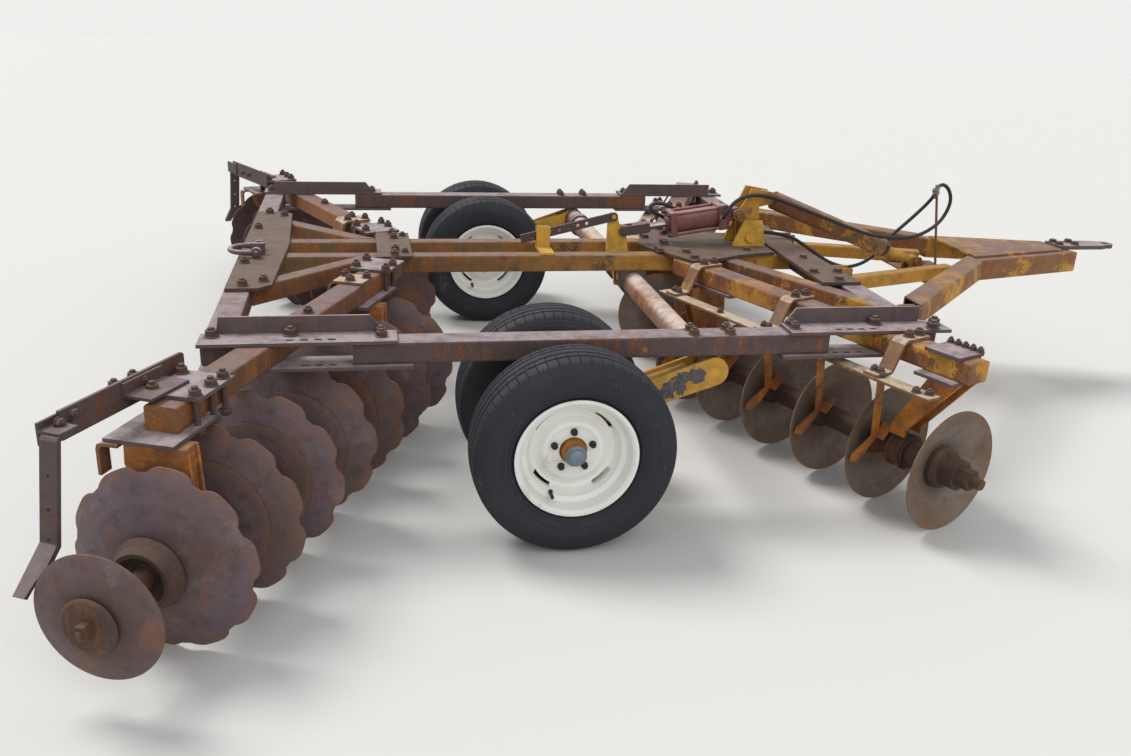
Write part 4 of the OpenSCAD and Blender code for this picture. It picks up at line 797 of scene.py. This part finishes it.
# Half of the tyre's section: distance from its middle, radius below the crown, and share of SIPE
# that the thin cuts across the tread take off
TREAD = [
    (0.000, 0.0000, 0.0), (0.0135, 0.0002, 0.0), (0.0155, GROOVE, 0.0), (0.0205, GROOVE, 0.0),
    (0.0225, 0.0006, 0.6), (0.0345, 0.0012, 0.6), (0.0455, 0.0020, 0.6), (0.0475, OUTER_GROOVE, 0.0),
    (0.0530, OUTER_GROOVE, 0.0), (0.0550, 0.0030, 1.0), (0.0680, 0.0044, 1.0), (0.0800, 0.0070, 1.0),
    (0.0885, 0.0112, 1.0), (0.0940, 0.0180, 0.0), (0.0958, 0.0225, 0.0)]
SIDE = [
    (0.0985, 0.0270), (0.1005, 0.0300), (0.1010, 0.0325), (0.1062, 0.0430), (0.1092, 0.0560),
    (0.1100, 0.0700), (0.1109, 0.0712), (0.1109, 0.0730), (0.1099, 0.0742), (0.1086, 0.0860),
    (0.1056, 0.0990), (0.1065, 0.1002), (0.1061, 0.1024), (0.1046, 0.1032), (0.0998, 0.1150),
    (0.0955, 0.1210), (0.0968, 0.1222), (0.0960, 0.1260), (0.0900, 0.1320), (0.0830, 0.1370),
    (0.0810, 0.1540)]


def tyre(name, node, y, body):
    """A tyre in place of its solid, turned from half a section round the wheel's middle."""
    half = TREAD + [(a, drop, 0.0) for a, drop in SIDE]
    section = [(-a, drop, cut) for a, drop, cut in reversed(half[1:])] + half
    middle = st(WHEEL[0], y, WHEEL[1])
    rings = []
    for block in range(TREAD_BLOCKS):
        for step in BLOCK_STEPS:
            turn = 2.0 * math.pi * (block + step) / TREAD_BLOCKS
            depth = SIPE if step == BLOCK_STEPS[1] else 0.0
            ring = []
            for a, drop, cut in section:
                r = TYRE_R - SKIN - drop - depth * cut
                ring.append(middle + Vector((r * math.cos(turn), a, r * math.sin(turn))))
            rings.append(ring)
    bm = bmesh.new()
    ring_loft(bm, rings, close=True)
    bmesh.ops.recalc_face_normals(bm, faces=bm.faces[:])
    o = add_object(name, bm, "tyre", body)
    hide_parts(node)
    return o


for side, way in (("right", -1.0), ("left", 1.0)):
    for which, off in (("outer", DUAL), ("inner", -DUAL)):
        tyre(f"tread_{side}_{which}", f"tyre_{side}_{which}", way * (RAIL_Y + off), f"wheels_{side}")


# Wheel nuts, hub caps and valves. Outlines are height and radius in metres; a circle is the radius
# at which a fitting sits, a face how far out of the tyre's middle
THREAD_PITCH = 0.0018
NUTS = 5
NUT_CIRCLE = 0.069
NUT_FACE = 0.0192
NUT_SEAT = [(0.0, 0.0125), (0.003, 0.0120), (0.005, 0.0100)]
CAP_FACE = 0.0655
CAP = [(0.0, 0.0365), (0.004, 0.0372), (0.007, 0.0350), (0.009, 0.0318), (0.016, 0.0305),
       (0.022, 0.0270), (0.026, 0.0205), (0.0285, 0.0120), (0.0293, 0.004)]
VALVE_TURN = math.radians(242.0)
VALVE_CIRCLE = 0.163
VALVE_FACE = 0.034
VALVE = [(0.0, 0.0095), (0.005, 0.0090), (0.010, 0.0062), (0.030, 0.0055), (0.031, 0.0062),
         (0.044, 0.0062), (0.047, 0.0050)]


def wheel_fittings(side, way):
    body = f"wheels_{side}"
    nuts = bmesh.new()
    caps = bmesh.new()
    valves = bmesh.new()
    for off, face in ((DUAL, way), (-DUAL, -way)):
        out = Vector((0.0, face, 0.0))
        middle = st(WHEEL[0], way * (RAIL_Y + off), WHEEL[1])
        for i in range(NUTS):
            a = 2.0 * math.pi * i / NUTS + math.radians(18.0)
            spoke = Vector((math.cos(a), 0.0, math.sin(a)))
            spot = middle + spoke * NUT_CIRCLE + out * NUT_FACE
            turned(nuts, spot, out, NUT_SEAT)
            hex_piece(nuts, spot, out, 0.0200, 0.012, a, 0.004)
            thread(nuts, spot, out, 0.0062, 0.015, 0.022, THREAD_PITCH)
        turned(caps, middle + out * CAP_FACE, out, CAP, 32)
        spoke = Vector((math.cos(VALVE_TURN), 0.0, math.sin(VALVE_TURN)))
        turned(valves, middle + spoke * VALVE_CIRCLE + out * VALVE_FACE, out, VALVE, 14)
    add_object(f"wheel_nuts_{side}", nuts, "wheel_nut", body)
    add_object(f"hub_caps_{side}", caps, "cap", body)
    add_object(f"valves_{side}", valves, "hose", body)


wheel_fittings("right", -1.0)
wheel_fittings("left", 1.0)


# Cylinder: tie-rod nuts, a gland and the ports' adaptors
LEVER_PIN = (611.0, 752.0)
CYL_PIN = (1160.0, 836.0)
# The end caps' outer faces along the line from the lever's pin, and the tie rods' distance from it
CAP_FRONT = 0.222
CAP_REAR = 0.490
TIE = 0.048
GLAND_AT = CAP_FRONT - 0.0003
GLAND = [(0.0, 0.019), (0.0, 0.036), (0.006, 0.036), (0.008, 0.034), (0.012, 0.034),
         (0.014, 0.030), (0.014, 0.019)]
PORTS = [((1078, -58.2, 824), -1.0), ((844, 58.2, 788), 1.0)]
PORT_SEAT = [(0.0, 0.0150), (0.0025, 0.0150), (0.0035, 0.0130)]


def cylinder_fittings():
    start = st(LEVER_PIN[0], 0.0, LEVER_PIN[1])
    line = (st(CYL_PIN[0], 0.0, CYL_PIN[1]) - start).normalized()
    side = Vector((0.0, 1.0, 0.0))
    top = line.cross(side) * -1.0
    bm = bmesh.new()
    for a in (-TIE, TIE):
        for b in (-TIE, TIE):
            corner = start + side * a + top * b
            for face, way, turn, tip in ((CAP_FRONT - SKIN, -line, 0.2, 0.019),
                                         (CAP_REAR + SKIN, line, 0.5, 0.017)):
                hex_piece(bm, corner + line * face, way, 0.020, 0.012, turn)
                thread(bm, corner + line * face, way, 0.0065, 0.011, tip, THREAD_PITCH)
    add_object("tie_rod_nuts", bm, "bolt", "cylinder_barrel")
    bm = bmesh.new()
    x, y, z = frame_from(-line)
    root = start + line * GLAND_AT
    ring_loft(bm, [circle(root + z * h, x, y, r, 32) for h, r in GLAND], close=True)
    bmesh.ops.recalc_face_normals(bm, faces=bm.faces[:])
    add_object("cylinder_gland", bm, "cylinder", "cylinder_barrel")
    bm = bmesh.new()
    for place, way in PORTS:
        out = Vector((0.0, way, 0.0))
        turned(bm, st(*place), out, PORT_SEAT)
        hex_piece(bm, st(*place), out, 0.026, 0.010, 0.1, 0.003)
    add_object("port_adaptors", bm, "fitting", "cylinder_barrel")


cylinder_fittings()


# Welds round the shaft where the arms and the lever sit, and along the frame's joints
LIFT_AXIS = (632, 538)
LIFT_WELD_R = 0.0515
# Where the arms and the lever meet the shaft
LIFT_WELD_YS = (-1266.5, 1266.5, -12.5, 12.5)


def lift_welds():
    bm = bmesh.new()
    x, y, z = frame_from((0.0, 1.0, 0.0))
    for i, weld_y in enumerate(LIFT_WELD_YS):
        ring = circle(st(LIFT_AXIS[0], weld_y, LIFT_AXIS[1]), x, y, LIFT_WELD_R, 26)
        bead(bm, ring + [ring[0]], 0.0042, 40 + i)
    return add_object("lift_welds", bm, "weld", "lift")


# The inner rails' ends, the foot of the rail plates' upright edges and the drawbar's lugs
INNER_RAIL_ENDS = (-1028.6, 1396.6)
UPRIGHTS = ((-1080.0, -585.0), (962.0, 1446.0))
UPRIGHT_Y = 1272.0
UPRIGHT_FOOT = 687.9
LUG_FACE = 1500.0
LUG_YS = (985.0, 345.0)


def frame_weld_lines():
    """Start, end and radius of each weld on the left-hand side."""
    lines = []
    for x in INNER_RAIL_ENDS:
        for y in (97.0, 173.0):
            lines.append(((x, y, 604), (x, y, 670), 0.0035))
        lines.append(((x, 100.0, 675.4), (x, 170.0, 675.4), 0.003))
    for x0, x1 in UPRIGHTS:
        lines.append(((x0, UPRIGHT_Y, UPRIGHT_FOOT), (x1, UPRIGHT_Y, UPRIGHT_FOOT), 0.0032))
    for lug_y in LUG_YS:
        for y in (lug_y - 18.0, lug_y + 18.0):
            lines.append(((LUG_FACE, y, 594), (LUG_FACE, y, 650), 0.0035))
    return lines


def frame_welds():
    bm = bmesh.new()
    seed = 60
    for side in (-1.0, 1.0):
        for a, b, r in frame_weld_lines():
            seed += 1
            bead(bm, [st(a[0], side * a[1], a[2]), st(b[0], side * b[1], b[2])], r, seed)
    return add_object("frame_welds", bm, "weld", "frame")


lift_welds()
frame_welds()


# Bolts of the end arms. An arm runs from its root to its tip; the bolts are measured back from the tip
ARM_ROOT = (-1142.0, 1582.0)
ARM_TIP = (-1392.0, 2062.0)
# Through the upright flange: distance back, height, and how far the face is off the arm's line
ARM_SIDE_BOLTS = [(70.0, 714.0, 5.2), (345.0, 712.0, 5.2), (10.0, 712.0, 13.4)]
# Through the flat flange: distance back
ARM_TOP_BOLTS = (380.0, 300.0)
ARM_TOP_ACROSS = 52.0
ARM_TOP_Z = 697.6


def end_arm_bolts():
    bm = bmesh.new()
    rnd = random.Random(23)
    for side in (-1.0, 1.0):
        root = Vector((ARM_ROOT[0], side * ARM_ROOT[1], 0.0))
        tip = Vector((ARM_TIP[0], side * ARM_TIP[1], 0.0))
        along = (tip - root).normalized()
        across = Vector((-along.y, along.x, 0.0)) * side
        for back, height, off in ARM_SIDE_BOLTS:
            q = tip - along * back - across * off
            bolt(bm, st(q.x, q.y, height), -across, 0.016, rnd.uniform(0.0, 1.0), reach=0.3)
        for back in ARM_TOP_BOLTS:
            q = tip - along * back + across * ARM_TOP_ACROSS
            bolt(bm, st(q.x, q.y, ARM_TOP_Z), UP, 0.018, rnd.uniform(0.0, 1.0), reach=0.4)
    return add_object("end_arm_bolts", bm, "bolt", "frame")


end_arm_bolts()


# Levelling screw: the lock nut and the collar's grub screw
ROD_TOP = (1300, 0, 918)
ROD_FOOT = (2128, 0, 596)
LOCK_NUT_AT = 0.6905
LOCK_NUT_FLAT = 0.036
LOCK_NUT_BORE = 0.0214
GRUB_AT = 0.665
COLLAR_R = 0.0502


def levelling_fittings():
    top = st(*ROD_TOP)
    line = (st(*ROD_FOOT) - top).normalized()
    bm = bmesh.new()
    x, y, z = frame_from(line)
    rings = []
    # height, and whether the ring lies on the nut's bore; the top edge is rounded off
    for h, inner in ((0.0, False), (0.028, False), (0.031, False), (0.031, True), (0.0, True)):
        ring = []
        for j in range(24):
            a = 2.0 * math.pi * j / 24.0
            if inner:
                r = LOCK_NUT_BORE
            else:
                off_flat = a - round(a / (math.pi / 3.0)) * math.pi / 3.0
                r = LOCK_NUT_FLAT / max(abs(math.cos(off_flat)), 0.8)
                if h > 0.03:
                    r = min(r, 0.0365)
            ring.append(top + line * (LOCK_NUT_AT + h) + (x * math.cos(a) + y * math.sin(a)) * r)
        rings.append(ring)
    ring_loft(bm, rings, close=True)
    bmesh.ops.recalc_face_normals(bm, faces=bm.faces[:])
    bolt(bm, top + line * GRUB_AT + y * COLLAR_R, y, 0.012, 0.3, nut=False, washer=False)
    return add_object("levelling_nut", bm, "bolt", "levelling_rod")


levelling_fittings()


# Washers and nuts of the drawbar's pins, and the tongue's bolts
PIN_AXIS = (1556, 622)
PIN_END = 46.2
PIN_WASHER = [(0.0, 0.0260), (0.004, 0.0260), (0.005, 0.0250)]
TONGUE_BOLTS = [(2922, -28), (2922, 28), (3010, -28), (3010, 28)]
TONGUE_TOP = 682.7


def drawbar_fittings():
    bm = bmesh.new()
    for side in (-1.0, 1.0):
        for y in LUG_YS:
            for way in (-1.0, 1.0):
                out = Vector((0.0, way, 0.0))
                p = st(PIN_AXIS[0], side * y + way * PIN_END, PIN_AXIS[1])
                turned(bm, p, out, PIN_WASHER, 24)
                hex_piece(bm, p, out, 0.030, 0.014, 0.4 + y, 0.005)
    add_object("hitch_pin_nuts", bm, "bolt", "frame")
    bm = bmesh.new()
    for x, y in TONGUE_BOLTS:
        bolt(bm, st(x, y, TONGUE_TOP), UP, 0.020, 0.2 * x, nut=False)
    add_object("tongue_bolts", bm, "bolt", "drawbar")


drawbar_fittings()


# Floor, lamps and world. Each lamp: the way to it, its spread in degrees and its strength
SUNS = [("key", (-0.55, 0.45, 1.0), 24.0, 2.1), ("fill", (0.25, -1.0, 0.75), 50.0, 0.75)]
BACKDROP = (0.862, 0.855, 0.839, 1.0)
SKY = (0.93, 0.96, 1.0, 1.0)
FLOOR = (214, 212, 208)
FLOOR_HALF = 30
FLOOR_Z = -0.001


def make_stage():
    bm = bmesh.new()
    for x, y in ((-1, -1), (1, -1), (1, 1), (-1, 1)):
        bm.verts.new((x * FLOOR_HALF, y * FLOOR_HALF, FLOOR_Z))
    bm.verts.ensure_lookup_table()
    bm.faces.new(bm.verts[:])
    mesh = bpy.data.meshes.new("floor")
    bm.to_mesh(mesh)
    bm.free()
    floor = bpy.data.objects.new("floor", mesh)
    bpy.context.scene.collection.objects.link(floor)
    n = Nodes("floor_grey")
    n.bsdf.inputs["Base Color"].default_value = lin(FLOOR)
    n.bsdf.inputs["Roughness"].default_value = 0.9
    mesh.materials.append(n.mat)
    world = bpy.data.worlds.new("world")
    world.use_nodes = True
    tree = world.node_tree
    sky = tree.nodes["Background"]
    sky.inputs["Color"].default_value = SKY
    sky.inputs["Strength"].default_value = 0.6
    # what the camera, metal and glass see behind the object is the floor's own tone
    seen = tree.nodes.new("ShaderNodeBackground")
    seen.inputs["Color"].default_value = BACKDROP
    seen.inputs["Strength"].default_value = 1.0
    path = tree.nodes.new("ShaderNodeLightPath")
    either = tree.nodes.new("ShaderNodeMath")
    either.operation = "MAXIMUM"
    tree.links.new(path.outputs["Is Camera Ray"], either.inputs[0])
    tree.links.new(path.outputs["Is Glossy Ray"], either.inputs[1])
    both = tree.nodes.new("ShaderNodeMixShader")
    tree.links.new(either.outputs[0], both.inputs[0])
    tree.links.new(sky.outputs[0], both.inputs[1])
    tree.links.new(seen.outputs[0], both.inputs[2])
    tree.links.new(both.outputs[0], tree.nodes["World Output"].inputs["Surface"])
    bpy.context.scene.world = world
    for name, toward, spread, power in SUNS:
        data = bpy.data.lights.new(name, "SUN")
        data.angle = math.radians(spread)
        data.energy = power
        lamp = bpy.data.objects.new(name, data)
        bpy.context.scene.collection.objects.link(lamp)
        lamp.rotation_euler = (-Vector(toward)).to_track_quat("-Z", "Y").to_euler()


make_stage()
bpy.context.scene.view_settings.view_transform = "Standard"
